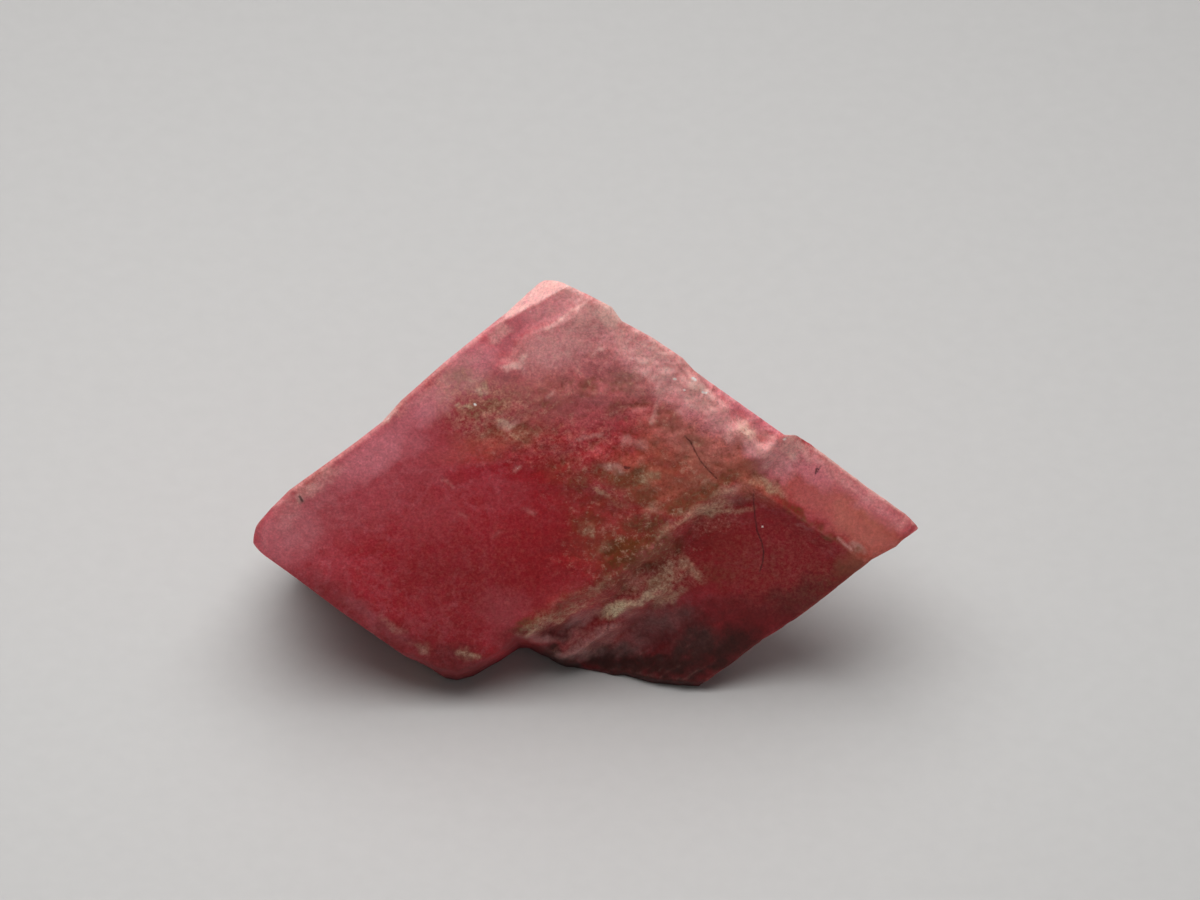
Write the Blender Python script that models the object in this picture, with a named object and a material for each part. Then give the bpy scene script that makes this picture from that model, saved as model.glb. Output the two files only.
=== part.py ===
"""A loose rhodochrosite crystal: a cleavage rhomb, broken at its lowest corner and across its back.

Everything is worked out in the crystal's own directions. "left" and "right" run down the two edges
of the front face from its top corner, and "depth" runs into the stone along the third edge.
Lists of places and heights are in millimetres, and everything else is in metres.
"""

import math

import bmesh
import bpy
from mathutils import Matrix, Vector, noise

MM = 0.001

# The rhomb: every cleavage face of the mineral has this obtuse angle.
FACE_ANGLE = math.radians(103.07)
LEFT_EDGE = 12.9 * MM
RIGHT_EDGE = 13.8 * MM

# How it lies: the third edge dips down to the back, and the face is turned a little in its own plane.
THIRD_EDGE_DIP = math.radians(40.0)
FACE_ROLL = math.radians(2.6)
TOP_HEIGHT = 13.8 * MM

# The cage that is shaped, and how many triangles are kept of it.
FACE_CELLS = 76
DEPTH_CELLS = 16
INSET_PASSES = 2
TRIANGLES_KEPT = 9300

# The back: an upright break, a thin wing to the right and a break behind the left corner.
BACK_WALL = 3.2 * MM
WING_THICKNESS = 1.5 * MM
WING_SLOPE = 0.76
LEFT_CORNER_THICKNESS = 4.6 * MM
LEFT_BREAK_SLOPE = 1.0
LEAST_THICKNESS = 1.1 * MM
BACK_ROUGHNESS = 0.16 * MM
BACK_SWELL = 0.3 * MM

# Cleavage steps on the back: (edge they are counted along, place, how much thicker beyond it).
BACK_STEPS = (
    ("left", 2.3, 0.45), ("left", 5.2, -0.35), ("left", 7.4, 0.5), ("left", 10.3, -0.4),
    ("right", 1.7, 0.35), ("right", 4.1, -0.5), ("right", 6.6, 0.4), ("right", 9.5, -0.45),
    ("right", 11.6, 0.2),
)
STEP_WIDTH = 0.24 * MM
STEP_WANDER = 0.5 * MM

# The underside: a hollow between the feet and the heel, which are worn flat on the rest plane.
HOLLOW_HEIGHT = 0.55 * MM
HOLLOW_CENTRE = -1.0 * MM
CONTACT_WEAR = 0.3 * MM
UNDERSIDE_ROUGHNESS = 0.2 * MM

# Outlines: (distance along the edge, how far the side face stands in from the ideal rhomb).
UPPER_RIGHT_OUTLINE = (
    (0.0, 0.25), (0.4, 0.10), (1.3, -0.06), (2.1, -0.16), (2.65, 0.03), (3.7, -0.08), (4.8, -0.08),
    (5.4, 0.05), (8.86, 0.14), (9.04, -0.06), (9.6, -0.14), (11.6, -0.06), (13.3, -0.02), (13.8, 0.10),
)
UPPER_LEFT_OUTLINE = (
    (0.0, 0.16), (0.5, -0.02), (1.0, 0.00), (1.9, 0.10), (4.3, 0.08), (6.1, 0.15), (7.0, 0.29),
    (8.0, 0.26), (9.0, 0.20), (10.5, 0.10), (11.2, 0.18), (11.7, 0.30), (12.1, 0.48), (12.9, 1.20),
)
LOWER_RIGHT_OUTLINE = (
    (0.0, -0.02), (0.6, -0.11), (1.1, -0.16), (1.9, 0.03), (4.9, -0.05), (6.1, 0.09), (8.6, 0.18),
)
LOWER_LEFT_OUTLINE = ((0.0, 0.85), (0.8, 0.42), (1.3, 0.14), (2.8, 0.05), (4.2, -0.04), (7.4, -0.12))

# The broken foot as seen straight along the third edge: (across from the top corner, below it).
FOOT_OUTLINE = (
    (-4.2, 12.0), (-3.4, 12.4), (-2.9, 12.5), (-2.4, 12.35), (-1.6, 11.85), (-1.0, 11.42), (-0.7, 11.45),
    (-0.1, 11.85), (0.4, 12.25), (1.9, 12.6), (2.2, 12.55), (3.0, 12.75), (4.3, 12.85),
)
FOOT_UNDERCUT = 2.9 * MM
FOOT_ROUNDING = 0.5 * MM
UNDERCUT_LIMIT = 1.6

# Lumps and raised lips of the front face: (left, right, radius, height).
LUMPS = (
    (0.4, 1.75, 0.95, 0.28), (3.4, 1.55, 0.5, 0.16), (0.55, 5.6, 0.5, 0.16), (0.95, 7.95, 0.6, 0.26),
    (1.15, 8.75, 0.65, 0.26), (6.6, 10.1, 0.75, 0.2), (7.6, 9.9, 0.7, 0.2), (8.5, 10.1, 0.6, 0.2),
    (9.6, 10.1, 0.6, 0.12), (8.9, 8.55, 0.5, 0.14), (9.9, 8.25, 0.5, 0.1),
)

# The sloping facet at the top corner and the chip below it, both along the upper left edge.
PEAK_FACET_WIDTH = 0.72 * MM
PEAK_FACET_TAPER = 0.22
PEAK_FACET_SLOPE = 1.1
PEAK_FACET_END = 2.6 * MM
CHIP_WIDTH = 1.2 * MM
CHIP_END = 3.25 * MM
CHIP_DEPTH = 0.26 * MM

# The narrow step along the upper right edge.
BAND_START = 5.6 * MM
BAND_END = 8.8 * MM
BAND_TAPER = 0.24
BAND_DEPTH = 0.34 * MM

# The right end: two facets that meet in a straight ridge, the lower one behind a worn step.
TIP_RIDGE = 2.08 * MM
TIP_START = 9.1 * MM
TIP_SLOPE = 0.3
LOWER_FACET_START = 9.2 * MM
LOWER_FACET_STEP = 0.22 * MM
LOWER_FACET_SLOPE = 0.13
LOWER_FACET_LENGTH = 3.9 * MM

# The middle: a thin raised plate and an etched, pitted zone around it.
PLATE_START = 5.4 * MM
PLATE_FOOT = 4.9 * MM
PLATE_HEIGHT = 0.13 * MM
PIT_GRAIN = 0.75 * MM
PIT_DEPTH = 0.1 * MM
ETCH_SWELL = 0.12 * MM

# The two ledges above the broken foot.
UPPER_LEDGE = (7.75 * MM, 8.7 * MM)
UPPER_LEDGE_DEPTH = 0.42 * MM
LOWER_LEDGE = (6.2 * MM, 10.3 * MM)
LOWER_LEDGE_DEPTH = 0.5 * MM
LEDGES_END = 12.1 * MM

# The whole front leans in a little toward the foot.
FRONT_LEAN = 0.03
FRONT_LEAN_START = 9.0 * MM
FRONT_WAVE = 0.05 * MM

# How the side faces are worn in.
SIDE_SWELL = 0.12 * MM
SIDE_GRAIN = 0.04 * MM
SIDE_STEP = 0.3 * MM
SIDE_STEP_DEPTH = 2.4 * MM

PINK = (0.52, 0.085, 0.105, 1.0)


def smooth(value, middle, width):
    """0 well before the middle, 1 well beyond it and an even S-curve over the width between."""
    share = min(max((value - middle) / width + 0.5, 0.0), 1.0)
    return share * share * (3.0 - 2.0 * share)


def along(outline, place):
    """The outline's second number at a place along it, in metres."""
    place /= MM
    for (start, low), (end, high) in zip(outline, outline[1:]):
        if place <= end:
            share = max((place - start) / (end - start), 0.0)
            return (low + (high - low) * share) * MM
    return outline[-1][1] * MM


def rough(left, right, grain, seed, octaves=3):
    """Even noise between about -1 and 1, with lumps of one grain's size."""
    spot = Vector((left / grain, right / grain, seed))
    return noise.fractal(spot, 0.9, 2.1, octaves)


def crystal_axes():
    """The directions of the left, right and third edges, one metre long."""
    flat_share = math.cos(math.pi - FACE_ANGLE)
    across_share = math.sin(math.pi - FACE_ANGLE)
    spread = math.acos((math.cos(FACE_ANGLE) - flat_share**2) / across_share**2)
    third = Vector((0.0, math.cos(THIRD_EDGE_DIP), -math.sin(THIRD_EDGE_DIP)))
    side = Vector((1.0, 0.0, 0.0))
    up = Vector((0.0, math.sin(THIRD_EDGE_DIP), math.cos(THIRD_EDGE_DIP)))
    edges = []
    for turn in (-spread / 2.0, spread / 2.0):
        angle = -math.pi / 2.0 + FACE_ROLL + turn
        edges.append(across_share * (math.cos(angle) * side + math.sin(angle) * up) + flat_share * third)
    return edges[0], edges[1], third


LEFT_AXIS, RIGHT_AXIS, THIRD_AXIS = crystal_axes()


def seen(left, right):
    """Where a point of the front face is seen along the third edge: across from the top corner, below it."""
    spot = left * LEFT_AXIS + right * RIGHT_AXIS
    spot -= spot.dot(THIRD_AXIS) * THIRD_AXIS
    return spot.x, -spot.z / math.cos(THIRD_EDGE_DIP)


def ground_depth(left, right):
    """How deep the stone can go behind a point of the front face before it meets the rest plane."""
    height = TOP_HEIGHT + left * LEFT_AXIS.z + right * RIGHT_AXIS.z
    return height / -THIRD_AXIS.z


def lumps(left, right):
    """How far the lumps and lips stand out."""
    total = 0.0
    for centre_left, centre_right, radius, height in LUMPS:
        gap = math.hypot(left - centre_left * MM, right - centre_right * MM)
        total += height * MM * (1.0 - smooth(gap, 0.575 * radius * MM, 0.85 * radius * MM))
    return total


def peak_relief(left, right):
    """The sloping facet at the top corner and the chip below it."""
    facet = max(PEAK_FACET_WIDTH - PEAK_FACET_TAPER * left - right, 0.0)
    facet *= PEAK_FACET_SLOPE * (1.0 - smooth(left, PEAK_FACET_END, 0.6 * MM))
    chip = 1.0 - smooth(right, CHIP_WIDTH + 0.2 * MM * math.sin(2.2 * left / MM), STEP_WIDTH)
    chip *= 1.0 - smooth(left, CHIP_END, 0.3 * MM)
    return facet + CHIP_DEPTH * chip


def upper_right_relief(left, right):
    """The narrow step below the upper right edge."""
    band = 1.0 - smooth(left, 0.15 * MM + BAND_TAPER * (right - BAND_START), STEP_WIDTH)
    band *= smooth(right, BAND_START, STEP_WIDTH) * (1.0 - smooth(right, BAND_END, STEP_WIDTH))
    return BAND_DEPTH * band


def right_relief(left, right):
    """The facet at the right tip, and the lower one that falls away from the ridge between them."""
    tip = smooth(right, TIP_START, 1.0 * MM) * max(TIP_RIDGE - left, 0.0) * TIP_SLOPE
    brink = LOWER_FACET_START + 0.35 * MM * rough(left, right, 1.6 * MM, 3.0)
    below_ridge = min(max(left - TIP_RIDGE, 0.0), LOWER_FACET_LENGTH)
    fall = LOWER_FACET_SLOPE * below_ridge + LOWER_FACET_STEP * smooth(below_ridge, 0.25 * MM, 0.5 * MM)
    return tip + smooth(right, brink, 0.5 * MM) * fall


def middle_relief(left, right):
    """The etched middle: a thin raised plate with a worn edge, pits and low swells."""
    wander = 0.3 * MM * rough(left, right, 1.2 * MM, 8.0)
    plate = smooth(right, PLATE_START + wander, 0.3 * MM) * (1.0 - smooth(left, PLATE_FOOT + wander, 1.0 * MM))
    plate *= 1.0 - smooth(right, TIP_START, 1.4 * MM)
    upper = smooth(right, 2.5 * MM, 1.4 * MM) * (1.0 - smooth(left, 6.1 * MM, 2.2 * MM))
    lower = smooth(right, 7.0 * MM, 1.6 * MM) * (1.0 - smooth(left, 7.9 * MM, 1.4 * MM))
    etched = min(upper + lower, 1.0) * (1.0 - smooth(right, 10.1 * MM, 1.0 * MM))
    pits = PIT_DEPTH * rough(left, right, PIT_GRAIN, 5.0)
    swells = ETCH_SWELL * rough(left, right, 2.4 * MM, 6.0, 2)
    return etched * (pits + swells) - PLATE_HEIGHT * plate


def foot_relief(left, right):
    """The break at the lowest corner: two ledges and the undercut down to the feet."""
    wander = 0.22 * MM * rough(left, right, 0.9 * MM, 11.0)
    ledges = 0.0
    for (from_left, from_right), depth in ((UPPER_LEDGE, UPPER_LEDGE_DEPTH), (LOWER_LEDGE, LOWER_LEDGE_DEPTH)):
        ledges += depth * smooth(left - wander, from_left, 1.1 * MM) * smooth(right + wander, from_right, 0.5 * MM)
    ledges *= 1.0 - smooth(right, LEDGES_END, 2.2 * MM)
    across, below = seen(left, right)
    gap = along(FOOT_OUTLINE, across) - below
    undercut = min(max(1.0 - gap / FOOT_ROUNDING, 0.0), UNDERCUT_LIMIT)
    return ledges + FOOT_UNDERCUT * undercut**2


def front_depth(left, right):
    """How deep the front surface lies under the ideal face."""
    lean = FRONT_LEAN * max(left + right - FRONT_LEAN_START, 0.0)
    wave = FRONT_WAVE * rough(left, right, 5.0 * MM, 1.0, 2)
    depth = lean + wave - lumps(left, right) + peak_relief(left, right) + upper_right_relief(left, right)
    return depth + right_relief(left, right) + middle_relief(left, right) + foot_relief(left, right)


def back_steps(left, right):
    """Cleavage steps across the back and the roughness between them."""
    total = BACK_ROUGHNESS * rough(left, right, 1.5 * MM, 21.0) + BACK_SWELL * rough(left, right, 4.5 * MM, 22.0, 2)
    for number, (edge, place, rise) in enumerate(BACK_STEPS):
        here, other = (left, right) if edge == "left" else (right, left)
        wander = STEP_WANDER * rough(other, 0.0, 2.2 * MM, 30.0 + number)
        total += rise * MM * smooth(here, place * MM + wander, STEP_WIDTH)
    return total


def underside_hollow(left, right):
    """How far the underside stands off the rest plane; below zero it is worn flat there."""
    across, _ = seen(left, right)
    reach = ground_depth(left, right)
    heel = smooth(reach, 6.0 * MM, 1.2 * MM)
    feet = 1.0 - smooth(reach, 2.6 * MM, 1.2 * MM)
    hollow = HOLLOW_HEIGHT * (1.0 - smooth(abs(across - HOLLOW_CENTRE), 2.5 * MM, 1.8 * MM)) * (1.0 - heel)
    return hollow - CONTACT_WEAR * max(feet, heel) + UNDERSIDE_ROUGHNESS * rough(left, right, 1.3 * MM, 40.0)


def back_depth(left, right):
    """How deep the stone goes: to the nearest of its breaks or the underside."""
    wall = (BACK_WALL - left * LEFT_AXIS.y - right * RIGHT_AXIS.y) / THIRD_AXIS.y
    wing = WING_THICKNESS + WING_SLOPE * (RIGHT_EDGE - right)
    corner = LEFT_CORNER_THICKNESS + LEFT_BREAK_SLOPE * (LEFT_EDGE - left + right)
    underside = ground_depth(left, right) - underside_hollow(left, right) / -THIRD_AXIS.z
    return min(min(wall, wing, corner) + back_steps(left, right), underside)


def side_wear(place, depth, seed):
    """How far a side face is worn in at a place along its edge and a depth; the front edge stays."""
    swell = SIDE_SWELL * (1.0 + rough(place, depth, 3.5 * MM, seed, 2))
    grain = SIDE_GRAIN * (1.0 + rough(place, depth, 0.9 * MM, seed + 2.0))
    line = SIDE_STEP_DEPTH + 0.5 * place + 1.2 * MM * rough(place, 0.0, 4.0 * MM, seed + 1.0, 2)
    return (swell + grain + SIDE_STEP * smooth(depth, line, STEP_WIDTH)) * smooth(depth, 0.9 * MM, 1.2 * MM)


def inset(left_share, right_share, left, right, depth):
    """The point moved in from the ideal rhomb as its four outlines and side faces ask."""
    start = along(UPPER_RIGHT_OUTLINE, right) + side_wear(right, depth, 50.0)
    end = LEFT_EDGE - along(LOWER_LEFT_OUTLINE, right) - side_wear(right, depth, 60.0)
    top = along(UPPER_LEFT_OUTLINE, left) + side_wear(left, depth, 70.0)
    bottom = RIGHT_EDGE - along(LOWER_RIGHT_OUTLINE, left) - side_wear(left, depth, 80.0)
    return start + (end - start) * left_share, top + (bottom - top) * right_share


def shaped(left_share, right_share, depth_share):
    """Where a point of the unit cube goes: the rhomb with its outlines, relief and breaks."""
    left, right = left_share * LEFT_EDGE, right_share * RIGHT_EDGE
    for _ in range(INSET_PASSES):
        near = front_depth(left, right)
        depth = near + depth_share * max(back_depth(left, right) - near, LEAST_THICKNESS)
        left, right = inset(left_share, right_share, left, right, depth)
    near = front_depth(left, right)
    thickness = max(back_depth(left, right) - near, LEAST_THICKNESS)
    corner = Vector((0.0, 0.0, TOP_HEIGHT))
    return corner + left * LEFT_AXIS + right * RIGHT_AXIS + (near + depth_share * thickness) * THIRD_AXIS


def cut_loops(cage, axis, cells):
    """Split every edge of the cage that runs along an axis into equal cells."""
    edges = [e for e in cage.edges if abs((e.verts[1].co - e.verts[0].co)[axis]) > 0.5]
    bmesh.ops.subdivide_edges(cage, edges=edges, cuts=cells - 1, use_grid_fill=True)


def stone_mesh():
    """A cube cut into cells, with every point moved to its place on the stone."""
    cage = bmesh.new()
    bmesh.ops.create_cube(cage, size=1.0, matrix=Matrix.Translation((0.5, 0.5, 0.5)))
    for axis, cells in enumerate((FACE_CELLS, FACE_CELLS, DEPTH_CELLS)):
        cut_loops(cage, axis, cells)
    for vertex in cage.verts:
        vertex.co = shaped(*vertex.co)
    bmesh.ops.recalc_face_normals(cage, faces=cage.faces)
    bmesh.ops.triangulate(cage, faces=cage.faces)
    mesh = bpy.data.meshes.new("crystal")
    cage.to_mesh(mesh)
    cage.free()
    return mesh


def collection(name):
    """A new collection in the scene."""
    made = bpy.data.collections.new(name)
    bpy.context.scene.collection.children.link(made)
    return made


def rhodochrosite():
    """The stone's material."""
    material = bpy.data.materials.new("rhodochrosite")
    material.use_nodes = True
    shader = material.node_tree.nodes["Principled BSDF"]
    shader.inputs["Base Color"].default_value = PINK
    shader.inputs["Roughness"].default_value = 0.45
    shader.inputs["Metallic"].default_value = 0.0
    return material


def rest_plane(home):
    """The cutter that leaves the stone flat where it touches the surface it lies on."""
    bpy.ops.mesh.primitive_cube_add(size=1.0, location=(0.0, 0.0, -TOP_HEIGHT / 2.0))
    cutter = bpy.context.object
    cutter.name = "rest_plane"
    cutter.scale = (4.0 * RIGHT_EDGE, 4.0 * RIGHT_EDGE, TOP_HEIGHT)
    cutter.hide_render = True
    cutter.display_type = "WIRE"
    for old in list(cutter.users_collection):
        old.objects.unlink(cutter)
    home.objects.link(cutter)
    return cutter


def crystal(home, cutter):
    """The one piece, thinned to its triangle budget and then cut at the rest plane."""
    mesh = stone_mesh()
    mesh.materials.append(rhodochrosite())
    stone = bpy.data.objects.new("crystal", mesh)
    home.objects.link(stone)
    thin = stone.modifiers.new("thin", "DECIMATE")
    thin.ratio = TRIANGLES_KEPT / len(mesh.polygons)
    cut = stone.modifiers.new("rest", "BOOLEAN")
    cut.operation = "DIFFERENCE"
    cut.object = cutter
    return stone


def centre_over_origin(stone):
    """Move the stone so that the middle of its box stands over the origin."""
    shape = stone.evaluated_get(bpy.context.evaluated_depsgraph_get()).to_mesh()
    xs = [vertex.co.x for vertex in shape.vertices]
    ys = [vertex.co.y for vertex in shape.vertices]
    stone.location = (-(min(xs) + max(xs)) / 2.0, -(min(ys) + max(ys)) / 2.0, 0.0)


def main():
    for old in list(bpy.data.objects):
        bpy.data.objects.remove(old)
    stone = crystal(collection("rhodochrosite_crystal"), rest_plane(collection("cutters")))
    bpy.context.view_layer.update()
    centre_over_origin(stone)


main()
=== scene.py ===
"""A loose rhodochrosite crystal and a plain stage for it.

The stone is worked out in the crystal's own directions: "left" and "right" run down the two edges of its
front face from the top corner, and "depth" runs into the stone along the third edge. Coloured marks are
placed as they are seen straight along the third edge: across from the top corner and below it.
The stone's lengths are in millimetres, and its marks are in hundredths of a millimetre and of full strength.
"""

import math
from functools import partial

import bmesh
import bpy
import numpy as np
from bpy.props import FloatProperty, FloatVectorProperty, PointerProperty
from mathutils import Matrix, Vector, noise

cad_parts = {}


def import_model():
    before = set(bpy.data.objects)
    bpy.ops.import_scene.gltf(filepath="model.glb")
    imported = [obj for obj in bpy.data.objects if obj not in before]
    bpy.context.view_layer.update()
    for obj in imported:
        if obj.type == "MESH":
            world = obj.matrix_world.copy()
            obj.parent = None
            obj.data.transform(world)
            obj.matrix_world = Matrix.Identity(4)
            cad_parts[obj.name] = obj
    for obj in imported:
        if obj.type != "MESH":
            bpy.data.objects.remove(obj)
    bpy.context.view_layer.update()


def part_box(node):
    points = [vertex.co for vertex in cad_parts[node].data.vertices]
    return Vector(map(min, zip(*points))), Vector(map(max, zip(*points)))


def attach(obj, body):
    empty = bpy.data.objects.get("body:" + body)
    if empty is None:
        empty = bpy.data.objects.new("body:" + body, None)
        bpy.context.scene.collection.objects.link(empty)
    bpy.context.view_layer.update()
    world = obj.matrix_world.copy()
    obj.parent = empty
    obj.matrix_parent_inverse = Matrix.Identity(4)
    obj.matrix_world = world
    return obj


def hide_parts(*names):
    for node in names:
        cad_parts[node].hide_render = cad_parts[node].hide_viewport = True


bl_info = {
    "name": "Rhodochrosite crystal",
    "version": (1, 0, 0),
    "blender": (4, 5, 0),
    "location": "3D View > Sidebar > Crystal",
    "description": "Makes a loose rhodochrosite crystal and a plain stage for it",
    "category": "Object",
}

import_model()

# A millimetre in metres, and the marks' own unit in millimetres.
MM = 0.001
MARK = 0.01

# How the noise's finer lumps follow from the coarser ones: how much flatter and how much smaller.
NOISE_FALL = 0.9
NOISE_STEP = 2.1

# The rhomb: every cleavage face of the mineral has this obtuse angle.
FACE_ANGLE = math.radians(103.07)
LEFT_EDGE = 12.9
RIGHT_EDGE = 13.8

# How it lies: the third edge dips down to the back, and the face is turned a little in its own plane.
THIRD_EDGE_DIP = math.radians(40.0)
FACE_ROLL = math.radians(2.6)
TOP_HEIGHT = 13.8

# The cage that is shaped; its front cells are cut once more, and they are smaller toward the edges.
FACE_CELLS = 122
DEPTH_CELLS = 26
CROWDING = 0.2
INSET_PASSES = 2

# The back: an upright break, a thin wing to the right and a break behind the left corner.
BACK_WALL = 3.2
WING_THICKNESS = 1.5
WING_SLOPE = 0.76
LEFT_CORNER_THICKNESS = 4.6
LEFT_BREAK_SLOPE = 1.0
LEAST_THICKNESS = 1.1
BACK_ROUGHNESS = 0.16
BACK_SWELL = 0.3

# Cleavage steps on the back: (edge they are counted along, place, how much thicker beyond it).
BACK_STEPS = (
    ("left", 2.3, 0.45), ("left", 5.2, -0.35), ("left", 7.4, 0.5), ("left", 10.3, -0.4),
    ("right", 1.7, 0.35), ("right", 4.1, -0.5), ("right", 6.6, 0.4), ("right", 9.5, -0.45),
    ("right", 11.6, 0.2),
)
STEP_WIDTH = 0.24
STEP_WANDER = 0.5

# The underside: a hollow between the feet and the heel, which are worn flat on the rest plane.
HOLLOW_HEIGHT = 0.55
HOLLOW_CENTRE = -1.0
CONTACT_WEAR = 0.3
UNDERSIDE_ROUGHNESS = 0.2

# Outlines: (distance along the edge, how far the side face stands in from the ideal rhomb).
UPPER_RIGHT_OUTLINE = (
    (0.0, 0.25), (0.4, 0.10), (1.3, -0.06), (2.1, -0.16), (2.65, 0.03), (3.7, -0.08), (4.8, -0.08),
    (5.4, 0.05), (8.86, 0.14), (9.04, -0.06), (9.6, -0.14), (11.6, -0.06), (13.3, -0.02), (13.8, 0.10),
)
UPPER_LEFT_OUTLINE = (
    (0.0, 0.16), (0.5, -0.02), (1.0, 0.00), (1.9, 0.10), (4.3, 0.08), (6.1, 0.15), (7.0, 0.29),
    (8.0, 0.26), (9.0, 0.20), (10.5, 0.10), (11.2, 0.18), (11.7, 0.30), (12.1, 0.48), (12.9, 1.20),
)
LOWER_RIGHT_OUTLINE = (
    (0.0, -0.02), (0.6, -0.11), (1.1, -0.16), (1.9, 0.03), (4.9, -0.05), (6.1, 0.09), (8.6, 0.18),
)
LOWER_LEFT_OUTLINE = ((0.0, 0.85), (0.8, 0.42), (1.3, 0.14), (2.8, 0.05), (4.2, -0.04), (7.4, -0.12))

# The broken foot as seen straight along the third edge: (across from the top corner, below it).
FOOT_OUTLINE = (
    (-4.2, 12.0), (-3.4, 12.4), (-2.9, 12.5), (-2.4, 12.35), (-1.6, 11.85), (-1.0, 11.42), (-0.7, 11.45),
    (-0.1, 11.85), (0.4, 12.25), (1.9, 12.6), (2.2, 12.55), (3.0, 12.75), (4.3, 12.85),
)
FOOT_UNDERCUT = 2.9
FOOT_ROUNDING = 0.5
UNDERCUT_LIMIT = 1.6

# Lumps and raised lips of the front face, worn lower than they once were: (left, right, radius, height).
LUMP_SHARE = 0.6
LUMPS = (
    (0.4, 1.75, 0.95, 0.28), (3.4, 1.55, 0.5, 0.16), (0.55, 5.6, 0.5, 0.16), (0.95, 7.95, 0.6, 0.26),
    (1.15, 8.75, 0.65, 0.26), (6.6, 10.1, 0.75, 0.2), (7.6, 9.9, 0.7, 0.2), (8.5, 10.1, 0.6, 0.2),
    (9.6, 10.1, 0.6, 0.12), (8.9, 8.55, 0.5, 0.14), (9.9, 8.25, 0.5, 0.1),
)

# The sloping facet at the top corner and the chip below it, both along the upper left edge.
PEAK_FACET_WIDTH = 0.72
PEAK_FACET_TAPER = 0.22
PEAK_FACET_SLOPE = 1.1
PEAK_FACET_END = 2.6
CHIP_WIDTH = 1.2
CHIP_END = 3.05
CHIP_BRINK = 0.45
CHIP_SINK = 0.2
FACET_FADE = 2.1

# The narrow step along the upper right edge.
BAND_START = 5.6
BAND_END = 8.7
BAND_WIDTH = 0.15
BAND_TAPER = 0.24
BAND_BRINK = 0.4
BAND_DEPTH = 0.34

# The right end: two facets that meet in a straight ridge, the lower one behind a worn step.
TIP_RIDGE = 2.08
TIP_START = 9.1
TIP_SLOPE = 0.3
LOWER_FACET_START = 9.2
LOWER_FACET_STEP = 0.22
LOWER_FACET_SLOPE = 0.13
LOWER_FACET_LENGTH = 3.9

# The middle: a thin raised plate and an etched, pitted zone around it.
PLATE_START = 5.4
PLATE_FOOT = 4.9
PLATE_HEIGHT = 0.13
PLATE_BRINK = 0.9
PIT_GRAIN = 0.75
PIT_DEPTH = 0.1
ETCH_SWELL = 0.12

# The two ledges above the broken foot: (left and right from where they drop, depth).
LEDGES = ((7.75, 8.7, 0.42), (6.2, 10.3, 0.5))
LEDGES_END = 12.1

# The whole front leans in a little toward the foot.
FRONT_LEAN = 0.03
FRONT_LEAN_START = 9.0
FRONT_WAVE = 0.05

# How the side faces are worn in.
SIDE_SWELL = 0.12
SIDE_GRAIN = 0.04
SIDE_STEP = 0.3
SIDE_STEP_DEPTH = 2.4

# Worn edges: the roll-off along the four edges of the front face, and how unevenly it runs.
EDGE_WEAR_WIDTH = 0.17
EDGE_WEAR_DEPTH = 0.085
EDGE_WEAR_WANDER = 0.6
CRUMBLED_EDGE = (4.4, 9.4)
CRUMBLE_DEPTH = 0.026

# The stone's corners, rounded in the plane of the front face: (far left, far right, radius).
ROUNDED_CORNERS = ((0, 0, 0.45), (1, 0, 0.56), (0, 1, 0.1))
TIP_REACH = 0.16

# Fine relief of the front face.
ETCH_PITS = ((0.36, 0.036), (0.17, 0.014))
CRUST_HEIGHT = 0.032
CRUMB_HEIGHT = 0.0192
CRUST_GRAIN = 0.11
STRIA_SPACING = 0.17
STRIA_DEPTH = 0.005
CALM_WAVE = ((1.6, 0.012), (0.5, 0.004))
CRACK_DEPTH = 0.02
CRACK_HALO = 0.1

# The hackly break above the feet: long ridges that climb to the right.
HACKLE_TURN = math.radians(-32.0)
HACKLE_LONG = 1.3
HACKLE_SHORT = 0.42
HACKLE_HEIGHT = 0.1
HACKLE_GRAIN = 0.02
LEDGE_REACH = 1.3
LIP_WIDTH = 0.09

# Small pale crumbs lie in rows that climb to the right.
CRUMB_TURN = math.radians(-24.0)
CRUMB_LONG = 0.34
CRUMB_SHORT = 0.13

# Fine cleavage steps of the back and the side faces: (run, rise).
BACK_STAIRS = (1.15, 0.13)
BACK_HACKLE = 0.09
SIDE_STAIRS = (0.8, 0.045)

# Sharp creases stay where two faces of the mesh meet at more than this angle.
CREASE_ANGLE = math.radians(48.0)

# The places that each point of the mesh keeps while it is cut.
PLACES = ("left", "right", "near", "depth")

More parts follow.
